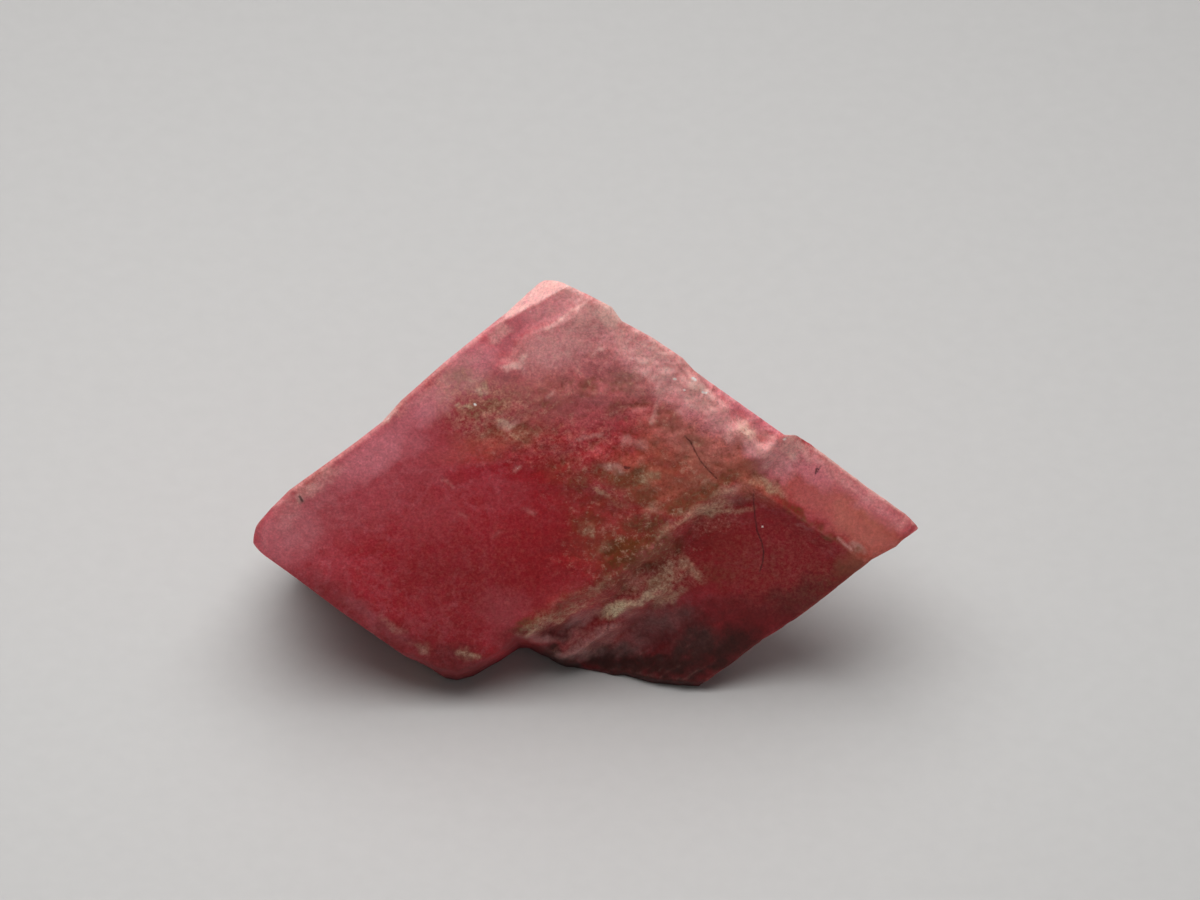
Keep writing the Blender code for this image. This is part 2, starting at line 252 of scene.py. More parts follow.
# Soft-edged marks: (across, below, half length, half width, turn in degrees, strength).
PATCHES = {
    # Milky haze, partly painted light: most of it lies on the upper part of the face, which it makes paler.
    "haze_and_painted_light": (
        (-529, 538, 173, 72, -38, 85), (-446, 508, 102, 72, -38, 50), (-374, 395, 126, 60, -38, 90),
        (-685, 664, 167, 54, -36, 42), (-804, 777, 132, 108, -45, 62), (-242, 275, 149, 84, -38, 90),
        (123, 179, 179, 84, 30, 80), (78, 90, 90, 60, 38, 50), (272, 239, 191, 84, 34, 95),
        (170, 293, 239, 84, 10, 60), (21, 224, 138, 90, 0, 80), (451, 395, 167, 78, 38, 90),
        (655, 544, 114, 66, 38, 95), (768, 580, 132, 48, 38, 80), (948, 676, 185, 51, 36, 60),
        (825, 694, 179, 66, 38, 26), (966, 789, 132, 42, 30, 26), (-745, 867, 149, 78, 35, 14),
        (-147, 224, 48, 72, -38, 45), (33, 323, 419, 132, 0, 50), (347, 323, 161, 78, 36, 85),
        (422, 463, 179, 102, 38, 35), (212, 149, 132, 54, 30, 60), (123, 389, 287, 90, 4, 25),
        (-520, 622, 329, 132, -36, 24), (317, 843, 114, 33, -30, 40), (526, 733, 102, 30, 0, 35),
        (-362, 712, 132, 90, -30, 12), (-132, 670, 78, 54, 0, 9), (-141, 1023, 90, 72, 20, 18),
        (-332, 460, 96, 54, -36, 18), (-535, 1046, 191, 30, 36, 20), (212, 341, 108, 54, 30, 50),
    ),
    "peach": (
        (451, 514, 161, 108, 38, 90), (338, 496, 90, 96, 0, 60), (577, 598, 132, 48, 38, 80),
        (948, 771, 179, 66, 36, 85), (834, 694, 120, 42, 38, 50), (750, 658, 132, 42, 38, 50),
        (-176, 508, 179, 48, -15, 35), (33, 344, 191, 54, 0, 50), (317, 628, 161, 78, 20, 60),
        (141, 185, 132, 72, 30, 50), (422, 658, 132, 36, 0, 60), (182, 807, 120, 108, 0, 22),
        (33, 987, 90, 42, -30, 10), (924, 873, 72, 42, -40, 70), (218, 347, 108, 54, 30, 40),
        (182, 305, 221, 96, 18, 28), (33, 395, 161, 54, 0, 22), (631, 553, 90, 36, 38, 50),
    ),
    "deep": (
        (161, 742, 108, 48, 0, 30), (218, 449, 96, 27, 8, 90), (-45, 643, 90, 102, 0, 60),
        (-326, 822, 191, 173, 0, 45), (-419, 487, 24, 21, 0, 80), (526, 807, 132, 78, 0, 90),
        (-12, 478, 78, 27, 0, 45), (78, 419, 66, 24, 10, 45), (-27, 837, 209, 149, -10, 85),
        (-117, 987, 179, 120, -10, 70), (152, 425, 54, 24, 0, 60), (451, 897, 149, 90, 20, 80),
        (123, 867, 72, 60, 0, 50), (721, 822, 149, 102, 30, 80), (631, 957, 179, 102, -20, 70),
        (810, 912, 120, 72, -30, 60), (272, 628, 90, 48, 0, 45), (317, 837, 108, 60, 0, 50),
        (571, 1076, 179, 120, -30, 80),
    ),
    "stain": (
        (-275, 311, 45, 24, 0, 50), (-236, 347, 60, 27, 0, 35), (-191, 401, 84, 30, -8, 85),
        (-224, 425, 30, 27, 0, 80), (-9, 395, 36, 36, 0, 50), (-132, 371, 72, 33, 0, 40),
        (-84, 478, 54, 27, 0, 55), (-176, 481, 48, 21, 0, 50), (111, 353, 36, 30, 0, 50),
        (215, 332, 60, 33, 0, 50), (194, 404, 42, 21, 0, 40), (428, 502, 48, 27, 10, 50),
        (347, 443, 48, 42, 0, 40), (586, 586, 84, 21, -8, 32), (505, 628, 78, 21, -25, 85),
        (637, 622, 60, 21, 34, 34), (242, 616, 90, 36, 0, 95), (84, 628, 45, 39, 0, 60),
        (164, 598, 48, 27, 0, 60), (287, 759, 78, 36, 0, 80), (308, 822, 90, 54, -12, 80),
        (218, 846, 84, 66, -20, 100), (161, 822, 72, 60, 0, 42), (99, 801, 78, 78, 0, 16),
        (69, 688, 66, 66, 0, 22), (386, 703, 66, 27, -15, 80), (188, 918, 78, 36, -30, 55),
        (111, 753, 54, 42, 0, 50), (278, 670, 54, 36, 0, 70), (152, 688, 60, 36, 0, 38),
        (451, 664, 78, 24, -12, 80), (33, 598, 72, 48, 0, 35), (27, 1011, 102, 24, -28, 45),
        (-72, 1064, 48, 21, -20, 85), (108, 963, 66, 27, -35, 35), (302, 879, 72, 27, -15, 60),
        (317, 942, 60, 27, -30, 70), (739, 718, 78, 12, 38, 65), (846, 798, 72, 12, 38, 65),
        (924, 837, 30, 18, 30, 60), (586, 867, 179, 72, 30, 15), (810, 957, 120, 60, -30, 40),
        (272, 747, 239, 179, -15, 13), (-147, 419, 209, 102, -5, 25), (182, 329, 179, 90, 10, 10),
        (511, 912, 72, 36, 0, 35), (-57, 389, 179, 66, -5, 35), (422, 598, 138, 90, 20, 35),
        (152, 359, 179, 60, 5, 14), (885, 912, 90, 48, -30, 40), (1002, 783, 108, 48, 30, 20),
        (870, 712, 149, 60, 38, 10),
    ),
    # Painted shade: dark purple brown laid over the break and the stone's lower parts, darker towards the
    # bottom.
    "painted_shade": (
        (-759, 679, 13, 10, 45, 70), (21, 1088, 90, 42, -18, 80), (188, 963, 78, 36, -35, 40),
        (338, 1106, 138, 126, 0, 80), (212, 1178, 197, 66, 6, 100), (434, 1151, 114, 144, 20, 100),
        (123, 1076, 84, 48, -20, 35), (356, 1070, 161, 78, -5, 84), (164, 1088, 132, 42, -8, 45),
        (691, 1032, 251, 96, -32, 66), (556, 1136, 144, 114, -32, 90), (870, 927, 132, 66, -32, 45),
        (-290, 1202, 149, 96, 10, 65), (-446, 1136, 197, 72, 34, 50), (-625, 1011, 197, 60, 35, 38),
        (-236, 987, 269, 179, 20, 24), (33, 897, 239, 149, 0, 12), (750, 867, 251, 120, 10, 35),
        (571, 1032, 191, 90, 0, 60), (-87, 987, 179, 102, -20, 20), (272, 1256, 329, 78, 3, 100),
        (347, 1190, 185, 54, 4, 100), (499, 1151, 155, 90, -35, 95), (33, 1181, 120, 48, 25, 100),
        (-117, 1106, 72, 48, -10, 50), (-326, 1106, 179, 90, 10, 30),
    ),
    # Pale mauve of the break's ledges, partly a painted sheen.
    "lavender_and_sheen": (
        (152, 1106, 90, 30, -28, 42), (317, 1041, 120, 54, -12, 21), (428, 1106, 102, 54, -20, 5),
        (236, 1124, 72, 36, -10, 24), (102, 1046, 78, 21, -25, 50), (248, 1035, 54, 18, -20, 36),
        (78, 1154, 78, 18, -8, 55), (-27, 1106, 60, 15, 4, 45), (99, 84, 96, 30, 35, 60),
        (33, 60, 42, 24, 0, 35), (762, 765, 27, 9, 20, 24), (272, 987, 48, 18, -25, 25),
        (69, 1106, 54, 18, -25, 24), (553, 676, 42, 18, 0, 30), (-745, 747, 120, 90, -40, 12),
    ),
    # Whitish bloom of crushed edges and lumps, partly painted highlights on the lumps, ridges and facets that
    # face the light.
    "bloom_and_highlight": (
        (179, 123, 54, 42, 35, 100), (152, 164, 179, 78, 30, 28), (308, 239, 209, 66, 35, 55),
        (451, 377, 161, 45, 38, 46), (595, 496, 149, 45, 38, 42), (-12, 90, 72, 30, -38, 20),
        (9, 215, 132, 78, -20, 36), (900, 625, 203, 27, 35, 30), (721, 529, 42, 27, 30, 60),
        (-709, 634, 102, 24, -36, 45), (-296, 299, 179, 15, -38, 20), (-798, 736, 30, 48, 30, 12),
        (248, 514, 39, 18, 0, 25), (9, 42, 54, 21, 30, 50), (694, 502, 21, 12, 30, 30),
        (-132, 451, 42, 18, -10, 30), (-487, 428, 27, 15, -45, 60), (-39, 126, 48, 18, -30, 40),
        (-3, 99, 90, 36, -38, 22), (-102, 272, 51, 15, -28, 60), (188, 589, 36, 12, 8, 30),
        (556, 652, 42, 15, -10, 12), (353, 323, 149, 54, 36, 50), (443, 341, 36, 18, 35, 90),
        (111, 191, 54, 12, -20, 30), (-87, 209, 179, 90, -30, 8), (-281, 335, 108, 48, -25, 20),
        (-152, 179, 48, 24, -38, 80), (-108, 245, 48, 18, -30, 28), (108, 138, 78, 39, -25, 50),
        (759, 526, 48, 21, 30, 70), (649, 490, 30, 18, 35, 35), (1049, 750, 36, 21, 35, 25),
        (924, 831, 27, 15, 30, 30), (230, 323, 84, 36, 30, 12),
    ),
    "crust": (
        (206, 1014, 54, 24, -22, 85), (266, 987, 66, 15, -22, 50), (320, 963, 60, 15, -30, 40),
        (332, 918, 60, 21, -30, 20), (416, 885, 54, 18, 45, 28), (147, 661, 27, 9, 30, 40),
        (305, 709, 36, 21, -20, 24), (344, 780, 36, 15, -30, 22), (469, 709, 78, 18, -12, 36),
        (517, 664, 48, 15, -15, 26), (664, 643, 54, 15, 35, 35), (574, 715, 42, 12, -5, 26),
        (33, 1035, 114, 12, -22, 25), (138, 951, 54, 15, -40, 15), (-257, 1154, 33, 9, 6, 12),
        (-404, 1136, 30, 12, 20, 15), (-481, 1064, 36, 15, 35, 12), (-212, 353, 24, 9, 0, 38),
        (-260, 404, 30, 7, 6, 40), (-152, 446, 21, 12, -12, 45), (-126, 457, 18, 9, 0, 40),
        (-108, 499, 24, 7, 10, 32), (-236, 320, 18, 6, 8, 30), (111, 771, 21, 15, -10, 25),
        (158, 831, 24, 15, -20, 12), (589, 481, 33, 24, 20, 50), (206, 697, 30, 15, 0, 16),
        (296, 622, 36, 24, -30, 20), (451, 622, 48, 18, 0, 10), (-57, 1082, 42, 12, -20, 40),
        (248, 939, 48, 24, -30, 10), (362, 978, 54, 18, -25, 34), (356, 903, 36, 24, 0, 30),
    ),
    "crumbs": (
        (-182, 404, 149, 90, -10, 80), (-281, 341, 102, 66, 0, 75), (-132, 478, 102, 48, 0, 50),
        (197, 613, 167, 78, 0, 26), (302, 733, 108, 72, 0, 18), (152, 777, 96, 84, 0, 4),
        (451, 652, 173, 60, -15, 22), (577, 622, 144, 48, 30, 20), (422, 747, 120, 30, -20, 30),
        (33, 1023, 138, 42, -28, 30), (242, 957, 155, 66, -25, 35), (368, 903, 102, 60, 0, 40),
        (123, 1106, 132, 42, -20, 25), (451, 365, 108, 42, 38, 60), (646, 502, 96, 36, 38, 50),
        (-469, 413, 54, 27, -38, 50), (33, 508, 209, 78, 0, 35), (152, 239, 209, 90, 25, 30),
        (422, 508, 161, 102, 30, 25), (496, 759, 78, 27, -10, 32), (296, 855, 102, 30, -28, 30),
        (-326, 867, 419, 299, 0, 10), (691, 867, 239, 149, 0, 14), (840, 628, 179, 48, 36, 20),
        (272, 389, 138, 90, 0, 25), (-27, 305, 149, 78, 0, 30),
    ),
}
BREAK_PATCHES = (
    (21, 1088, 108, 45, -18, 100), (188, 987, 90, 42, -35, 100), (338, 1106, 155, 132, 0, 100),
    (227, 1172, 209, 72, 6, 100), (422, 1142, 108, 149, 20, 100), (123, 1070, 108, 66, -20, 100),
)
STRIPED_PATCHES = ((99, 84, 96, 30, 35, 90),)

# Thin soft marks: (half width, strength, then across and below for each of their points).
STROKES = {
    # pale mauve strokes on the break, partly a painted sheen
    "lavender_and_sheen": (
        (7.8, 55, 18, 1160, 99, 1139, 152, 1094, 188, 1067), (6.6, 35, -75, 1100, 9, 1115),
    ),
    # whitish strokes of crushed ridges, partly painted highlights
    "bloom_and_highlight": (
        (6.6, 75, -138, 284, -105, 272, -72, 251), (5, 40, -72, 239, -3, 167),
        (6.6, 75, -9, 170, 33, 138, 93, 99), (5.4, 50, 33, 197, 84, 155, 152, 114),
        (5, 50, 123, 251, 135, 233, 155, 230), (5, 50, 33, 245, 21, 221, 36, 203),
        (7.8, 50, 200, 144, 302, 209, 392, 269), (8.4, 80, 419, 317, 443, 329, 469, 359),
        (5.4, 50, 469, 359, 499, 380, 523, 401), (6.6, 30, 302, 449, 323, 389, 356, 353, 401, 335),
        (6.6, 60, 706, 496, 810, 538, 945, 634, 1073, 724), (5, 32, 867, 801, 888, 819, 909, 834),
        (7.2, 40, 51, 179, 123, 135), (5, 14, -329, 622, -296, 643), (5, 14, -84, 712, -51, 727),
        (5, 10, -278, 724, -254, 736), (5, 10, -176, 795, -152, 780), (5, 30, -335, 323, -305, 335),
        (5, 25, -356, 377, -290, 380), (5, 35, -236, 353, -194, 362), (5, 30, -12, 374, 9, 359),
        (5, 30, 78, 499, 152, 487), (5, 30, -111, 595, -93, 583), (6, 30, 607, 478, 649, 514, 685, 526),
    ),
    "crust": (
        (9, 50, 167, 1035, 194, 1005, 248, 999), (6, 45, 248, 999, 302, 984, 359, 957),
        (6, 18, -87, 1076, 33, 1023, 105, 987), (6, 30, 389, 867, 422, 885, 446, 921),
        (6.6, 26, 601, 631, 652, 637, 703, 673), (6, 30, -287, 1148, -224, 1160),
        (6, 36, 392, 750, 451, 718, 544, 718), (6, 30, 320, 801, 356, 774, 392, 747),
    ),
}
CRACKS = (
    (3, 84, 401, 490, 419, 508, 434, 538, 451, 568, 472, 592, 499, 619),
    (3, 86, 610, 664, 613, 703, 616, 736, 622, 777, 637, 813, 643, 843, 640, 873, 631, 903),
    (5.7, 100, 224, 589, 236, 586), (4.8, 100, 221, 583, 227, 586), (4.8, 95, 798, 604, 801, 589),
    (4.8, 85, 804, 598, 813, 583), (7.8, 100, -759, 673, -750, 688), (3.9, 66, 703, 604, 736, 610),
    (3.6, 66, 706, 622, 727, 598), (3, 70, 422, 514, 443, 508),
)
# Painted glints: tiny bright highlights, given like the cracks.
PAINTED_GLINTS = (
    (2.7, 90, 368, 320, 374, 320), (3.6, 100, 425, 317, 434, 323), (2.7, 90, 398, 353, 401, 353),
    (3.6, 90, 454, 359, 466, 362), (2.7, 80, 637, 765, 640, 765), (2.4, 60, 601, 750, 604, 750),
    (3, 90, 700, 502, 706, 499), (2.7, 90, -230, 395, -227, 398), (2.4, 62, -102, 589, -99, 589),
    (3, 70, -493, 440, -487, 437), (2.7, 60, -478, 413, -472, 407), (2.4, 60, 144, 362, 147, 362),
    (2.4, 70, -63, 120, -60, 117), (2.4, 50, 236, 574, 242, 571), (2.4, 50, 161, 487, 164, 490),
)

# Small ledges of the break: (drop below the line, lip on it, then its points).
LEDGE_LINES = (
    (8, 2, -132, 1106, -87, 1076, -27, 1052, 33, 1026, 87, 999, 123, 966, 152, 939, 188, 915, 227, 891),
    (13, 4, 12, 1166, 69, 1157, 123, 1115, 164, 1088, 176, 1041, 200, 1011, 290, 1002, 326, 984, 365, 957,
     392, 912, 422, 885),
    (7, 5, 287, 867, 320, 807, 356, 777, 392, 753, 437, 721, 481, 706, 517, 682, 559, 658, 607, 658),
)

# Where the stone is seen from, in millimetres: straight along its third edge, with the whole of it in view.
VIEW_CENTRE = (1.47, 5.33)
VIEW_WIDTH = 35.88
VIEW_DISTANCE = 300.0
SENSOR_WIDTH = 36.0
NEAREST_SEEN = 10.0

# The stage, in metres: the floor, the two square lights (place, width) and the ceiling's even light.
FLOOR_SIZE = 1.6
LIGHTS_AIM = Vector((0.0, 0.0, 0.006))
OVERHEAD = (Vector((-0.008, 0.006, 0.075)), 0.085)
FRONT = (Vector((0.05, -0.28, 0.14)), 0.25)
CEILING_TILT = math.radians(-14.0)
CEILING_SPREAD = math.radians(80.0)

# The masks that the mesh keeps, and the stone's noises: (size, detail, roughness).
MASKS = (*PATCHES, "crack", "painted_glint", "worn", "hollow", "etched")
STONE_GRAINS = {
    "clouds": (1.3, 4.0, 0.55),
    "streaks": (0.8, 5.0, 0.6),
    "mottle": (0.42, 4.0, 0.6),
    "grit": (0.3, 8.0, 0.8),
    "dust": (0.14, 6.0, 0.75),
    "specks": (0.12, 3.0, 0.6),
    "sugar": (0.07, 2.0, 0.7),
}
FLOOR_GRAIN = (0.6, 3.0, 0.5)

# How light travels in the stone: how far each colour spreads, how strongly it bends and how it shines.
GLOW_COLOURS = (1.0, 0.28, 0.25)
BENDING = 1.6
SHINE = 0.11
FLOOR_ROUGHNESS = 0.85
FLOOR_SHADE = 0.94

# The kinds of number that a user may change.
SHARE = {"max": 1.0, "subtype": "FACTOR"}
LENGTH = {"subtype": "DISTANCE", "unit": "LENGTH"}
POWER = {"subtype": "POWER", "unit": "POWER"}


def smooth(value, middle, width):
    """0 well before the middle, 1 well beyond it and an even S-curve over the width between."""
    share = np.clip((value - middle) / width + 0.5, 0.0, 1.0)
    return share * share * (3.0 - 2.0 * share)


def before(value, middle, width):
    """1 well before the middle and 0 well beyond it."""
    return 1.0 - smooth(value, middle, width)


def along(outline, place):
    """The outline's second number at places along it."""
    starts, heights = zip(*outline)
    return np.interp(place, starts, heights)


def turned(run, fall, angle):
    """Steps across and down, counted along two directions that are turned by an angle."""
    cosine, sine = math.cos(angle), math.sin(angle)
    return run * cosine + fall * sine, fall * cosine - run * sine


def rough(left, right, grain, seed, octaves=3):
    """Even noise between about -1 and 1, with lumps of one grain's size."""
    left, right = np.broadcast_arrays(left / grain, right / grain)
    spots = zip(left.tolist(), right.tolist())
    values = (noise.fractal((x, y, seed), NOISE_FALL, NOISE_STEP, octaves) for x, y in spots)
    return np.fromiter(values, float, len(left))


def rough_in_space(spots, grain, seed):
    """Even noise between about -1 and 1 at points in space."""
    shifted = (spots / grain + seed * 7.3).tolist()
    values = (noise.fractal(spot, NOISE_FALL, NOISE_STEP, 3) for spot in shifted)
    return np.fromiter(values, float, len(spots))


def cleaved(value, run, rise):
    """Slightly tilted treads with a sharp riser after each run."""
    part = np.mod(value / run, 1.0)
    return rise * (smooth(part, 0.95, 0.1) - part)


def crystal_axes():
    """The directions of the left, right and third edges and of the view's side and up, each one unit long."""
    flat_share = math.cos(math.pi - FACE_ANGLE)
    across_share = math.sin(math.pi - FACE_ANGLE)
    spread = math.acos((math.cos(FACE_ANGLE) - flat_share**2) / across_share**2)
    third = Vector((0.0, math.cos(THIRD_EDGE_DIP), -math.sin(THIRD_EDGE_DIP)))
    side = Vector((1.0, 0.0, 0.0))
    up = Vector((0.0, math.sin(THIRD_EDGE_DIP), math.cos(THIRD_EDGE_DIP)))
    edges = []
    for turn in (-spread / 2.0, spread / 2.0):
        angle = -math.pi / 2.0 + FACE_ROLL + turn
        edges.append(across_share * (math.cos(angle) * side + math.sin(angle) * up) + flat_share * third)
    return edges[0], edges[1], third, side, up


LEFT_AXIS, RIGHT_AXIS, THIRD_AXIS, VIEW_SIDE, VIEW_UP = crystal_axes()
TOP_CORNER = Vector((0.0, 0.0, TOP_HEIGHT))


def seen(left, right):
    """Where points of the front face are seen along the third edge: across from the top corner, below it."""
    across = left * LEFT_AXIS.dot(VIEW_SIDE) + right * RIGHT_AXIS.dot(VIEW_SIDE)
    below = -left * LEFT_AXIS.dot(VIEW_UP) - right * RIGHT_AXIS.dot(VIEW_UP)
    return across, below


def ground_depth(left, right):
    """How deep the stone can go behind a point of the front face before it meets the rest plane."""
    height = TOP_HEIGHT + left * LEFT_AXIS.z + right * RIGHT_AXIS.z
    return height / -THIRD_AXIS.z


def patches(across, below, marks):
    """The strongest soft-edged mark at each point."""
    strongest = np.zeros(len(across))
    for mark_across, mark_below, length, width, turn, strength in marks:
        run, fall = turned(across / MARK - mark_across, below / MARK - mark_below, math.radians(turn))
        share = 0.01 * strength * before(np.hypot(run / length, fall / width), 0.9, 1.1)
        strongest = np.maximum(strongest, share)
    return strongest


def gap_to(across, below, line):
    """How far each point is from a line, in the marks' own unit."""
    nearest = np.inf
    points = list(zip(line[::2], line[1::2]))
    for start, end in zip(points, points[1:]):
        run, fall = end[0] - start[0], end[1] - start[1]
        gone, sunk = across / MARK - start[0], below / MARK - start[1]
        share = np.clip((gone * run + sunk * fall) / (run * run + fall * fall), 0.0, 1.0)
        nearest = np.minimum(nearest, np.hypot(gone - share * run, sunk - share * fall))
    return nearest


def strokes(across, below, marks):
    """The strongest thin mark at each point."""
    strongest = np.zeros(len(across))
    for width, strength, *line in marks:
        share = 0.01 * strength * before(gap_to(across, below, line), width, 2.0 * width)
        strongest = np.maximum(strongest, share)
    return strongest


def halos(across, below, marks):
    """How near each point is to a thin line: 1 on the line, falling evenly to 0 at the halo's edge."""
    nearest = np.zeros(len(across))
    for _, strength, *line in marks:
        share = np.clip(1.0 - gap_to(across, below, line) * MARK / CRACK_HALO, 0.0, 1.0)
        nearest = np.maximum(nearest, 0.01 * strength * share)
    return nearest


def lumps(left, right):
    """How far the lumps and lips stand out."""
    total = 0.0
    for centre_left, centre_right, radius, height in LUMPS:
        gap = np.hypot(left - centre_left, right - centre_right) / radius
        total += height * before(gap, 0.575, 0.85)
    return total


def chip_share(left, right):
    """1 in the chip below the top facet and 0 around it."""
    brink = CHIP_WIDTH + 0.2 * np.sin(2.2 * left) + 0.1 * rough(left, right, 0.5, 160.0)
    return before(right, brink, CHIP_BRINK) * before(left, CHIP_END, 0.9)


def peak_facet(left, right):
    """How far the facet at the top corner slopes away."""
    facet = np.maximum(PEAK_FACET_WIDTH - PEAK_FACET_TAPER * left - right, 0.0)
    return facet * PEAK_FACET_SLOPE * before(left, PEAK_FACET_END, 0.6)


def band_share(left, right):
    """1 in the narrow step below the upper right edge and 0 around it."""
    uneven = 0.08 * rough(left, right, 0.4, 161.0)
    band = before(left, BAND_WIDTH + BAND_TAPER * (right - BAND_START) + uneven, STEP_WIDTH)
    return band * smooth(right, BAND_START, BAND_BRINK) * before(right, BAND_END, BAND_BRINK)


def beyond_facet_brink(left, right):
    """1 toward the right tip from where the lower facet starts."""
    return smooth(right, LOWER_FACET_START + 0.35 * rough(left, right, 1.6, 3.0), 0.5)


def right_relief(left, right):
    """The facet at the right tip, and the lower one that falls away from the ridge between them."""
    tip = smooth(right, TIP_START, 1.0) * np.maximum(TIP_RIDGE - left, 0.0) * TIP_SLOPE
    below_ridge = np.clip(left - TIP_RIDGE, 0.0, LOWER_FACET_LENGTH)
    fall = LOWER_FACET_SLOPE * below_ridge + LOWER_FACET_STEP * smooth(below_ridge, 0.25, 0.5)
    return tip + beyond_facet_brink(left, right) * fall


def plate_share(left, right, wander):
    """1 on the thin raised plate and 0 around it."""
    plate = smooth(right, PLATE_START + wander, PLATE_BRINK) * before(left, PLATE_FOOT + wander, 1.0)
    return plate * before(right, TIP_START, 1.4)


def etched_share(left, right):
    """1 in the etched middle and 0 on the smooth faces."""
    upper = smooth(right, 2.5, 1.4) * before(left, 6.1, 2.2)
    lower = smooth(right, 7.0, 1.6) * before(left, 7.9, 1.4)
    return np.minimum(upper + lower, 1.0) * before(right, 10.1, 1.0)


def middle_relief(left, right):
    """The etched middle: a thin raised plate with a worn edge, pits and low swells."""
    wander = 0.3 * rough(left, right, 1.2, 8.0)
    pits = PIT_DEPTH * rough(left, right, PIT_GRAIN, 5.0)
    swells = ETCH_SWELL * rough(left, right, 2.4, 6.0, 2)
    return etched_share(left, right) * (pits + swells) - PLATE_HEIGHT * plate_share(left, right, wander)


def foot_relief(left, right):
    """The break at the lowest corner: two ledges and the undercut down to the feet."""
    wander = 0.22 * rough(left, right, 0.9, 11.0)
    ledges = 0.0
    for from_left, from_right, depth in LEDGES:
        shares = smooth(left - wander, from_left, 1.1) * smooth(right + wander, from_right, 0.5)
        ledges += depth * shares
    across, below = seen(left, right)
    gap = along(FOOT_OUTLINE, across) - below
    undercut = np.clip(1.0 - gap / FOOT_ROUNDING, 0.0, UNDERCUT_LIMIT)
    return ledges * before(right, LEDGES_END, 2.2) + FOOT_UNDERCUT * undercut**2


def ledge_relief(across, below):
    """The small ledges of the break: a lip along each line and a drop below it."""
    depth = 0.0
    for drop, lip, *line in LEDGE_LINES:
        starts, heights = np.array(line[::2]) * MARK, np.array(line[1::2]) * MARK
        gap = below - np.interp(across, starts, heights)
        inside = smooth(across, starts[0], 0.3) * before(across, starts[-1], 0.3)
        fall = drop * smooth(gap, 0.07, 0.14) * before(gap, LEDGE_REACH, LEDGE_REACH)
        depth += inside * MARK * (fall - lip * np.exp(-((gap / LIP_WIDTH) ** 2)))
    return depth


def crumb_rows(across, below):
    """Uneven noise whose grains are drawn out along rows that climb to the right."""
    run, fall = turned(across, below, CRUMB_TURN)
    return rough(run / CRUMB_LONG, fall / CRUMB_SHORT, 1.0, 155.0)


def edge_wear(left, right):
    """The worn roll-off along the front face's four edges, crumbled along the upper right one."""
    total = 0.0
    edges = (
        (left - along(UPPER_RIGHT_OUTLINE, right), right, 91.0),
        (LEFT_EDGE - along(LOWER_LEFT_OUTLINE, right) - left, right, 92.0),
        (right - along(UPPER_LEFT_OUTLINE, left), left, 93.0),
        (RIGHT_EDGE - along(LOWER_RIGHT_OUTLINE, left) - right, left, 94.0),
    )
    for gap, place, seed in edges:
        uneven = 1.0 + EDGE_WEAR_WANDER * rough(place, 0.0, 0.9, seed)
        share = np.clip(1.0 - gap / (EDGE_WEAR_WIDTH * uneven), 0.0, 1.0)
        total += EDGE_WEAR_DEPTH * uneven * share**2
    start, end = CRUMBLED_EDGE
    crumbled = smooth(right, start, 0.8) * before(right, end, 0.6)
    crumbled *= before(left, 0.5, 0.7)
    return total + CRUMBLE_DEPTH * crumbled * rough(left, right, 0.22, 95.0)


def fine_relief(left, right):
    """Everything on the front face that is too fine for the solid."""
    across, below = seen(left, right)
    broken = smooth(patches(across, below, BREAK_PATCHES), 0.4, 0.5)
    depth = ledge_relief(across, below)
    for seed, (grain, height) in enumerate(ETCH_PITS):
        share = 0.12 + 0.88 * etched_share(left, right)
        depth += height * share * rough(left, right, grain, 100.0 + seed)
    crumbs = patches(across, below, PATCHES["crumbs"]) * smooth(crumb_rows(across, below), 0.45, 0.5)
    depth -= CRUMB_HEIGHT * crumbs
    for seed, (grain, height) in enumerate(CALM_WAVE):
        depth += height * rough(left, right, grain, 110.0 + seed, 2)
    run, fall = turned(across, below, HACKLE_TURN)
    ridges = np.abs(rough(run / HACKLE_LONG, fall / HACKLE_SHORT, 1.0, 120.0))
    depth += broken * (HACKLE_HEIGHT * ridges + HACKLE_GRAIN * rough(left, right, 0.2, 121.0))
    wobble = 0.05 * rough(left, right, 0.3, 130.0)
    shaken = across + wobble, below - wobble
    crust = strokes(*shaken, STROKES["crust"] + STROKES["lavender_and_sheen"])
    crust = np.maximum(crust, patches(*shaken, PATCHES["crust"]))
    depth -= CRUST_HEIGHT * crust * (1.0 + 1.1 * rough(left, right, CRUST_GRAIN, 131.0))
    depth += CRACK_DEPTH * strokes(across, below, CRACKS)
    striped = np.maximum(chip_share(left, right), patches(across, below, STRIPED_PATCHES))
    turns = 2.0 * math.pi * (right + 0.05 * left) / STRIA_SPACING + 2.0 * rough(left, right, 1.0, 132.0)
    return depth + STRIA_DEPTH * striped * np.sin(turns)


def front_depth(left, right):
    """How deep the front surface lies under the ideal face."""
    lean = FRONT_LEAN * np.maximum(left + right - FRONT_LEAN_START, 0.0)
    wave = FRONT_WAVE * rough(left, right, 5.0, 1.0, 2)
    relief = peak_facet(left, right) + CHIP_SINK * chip_share(left, right) - LUMP_SHARE * lumps(left, right)
    relief += BAND_DEPTH * band_share(left, right)
    relief += right_relief(left, right) + middle_relief(left, right) + foot_relief(left, right)
    return lean + wave + relief + edge_wear(left, right) + fine_relief(left, right)


def back_steps(left, right):
    """Cleavage steps across the back and the roughness between them."""
    total = BACK_ROUGHNESS * rough(left, right, 1.5, 21.0)
    total += BACK_SWELL * rough(left, right, 4.5, 22.0, 2)
    for number, (edge, place, rise) in enumerate(BACK_STEPS):
        here, other = (left, right) if edge == "left" else (right, left)
        wander = STEP_WANDER * rough(other, 0.0, 2.2, 30.0 + number)
        total += rise * smooth(here, place + wander, STEP_WIDTH)
    return total


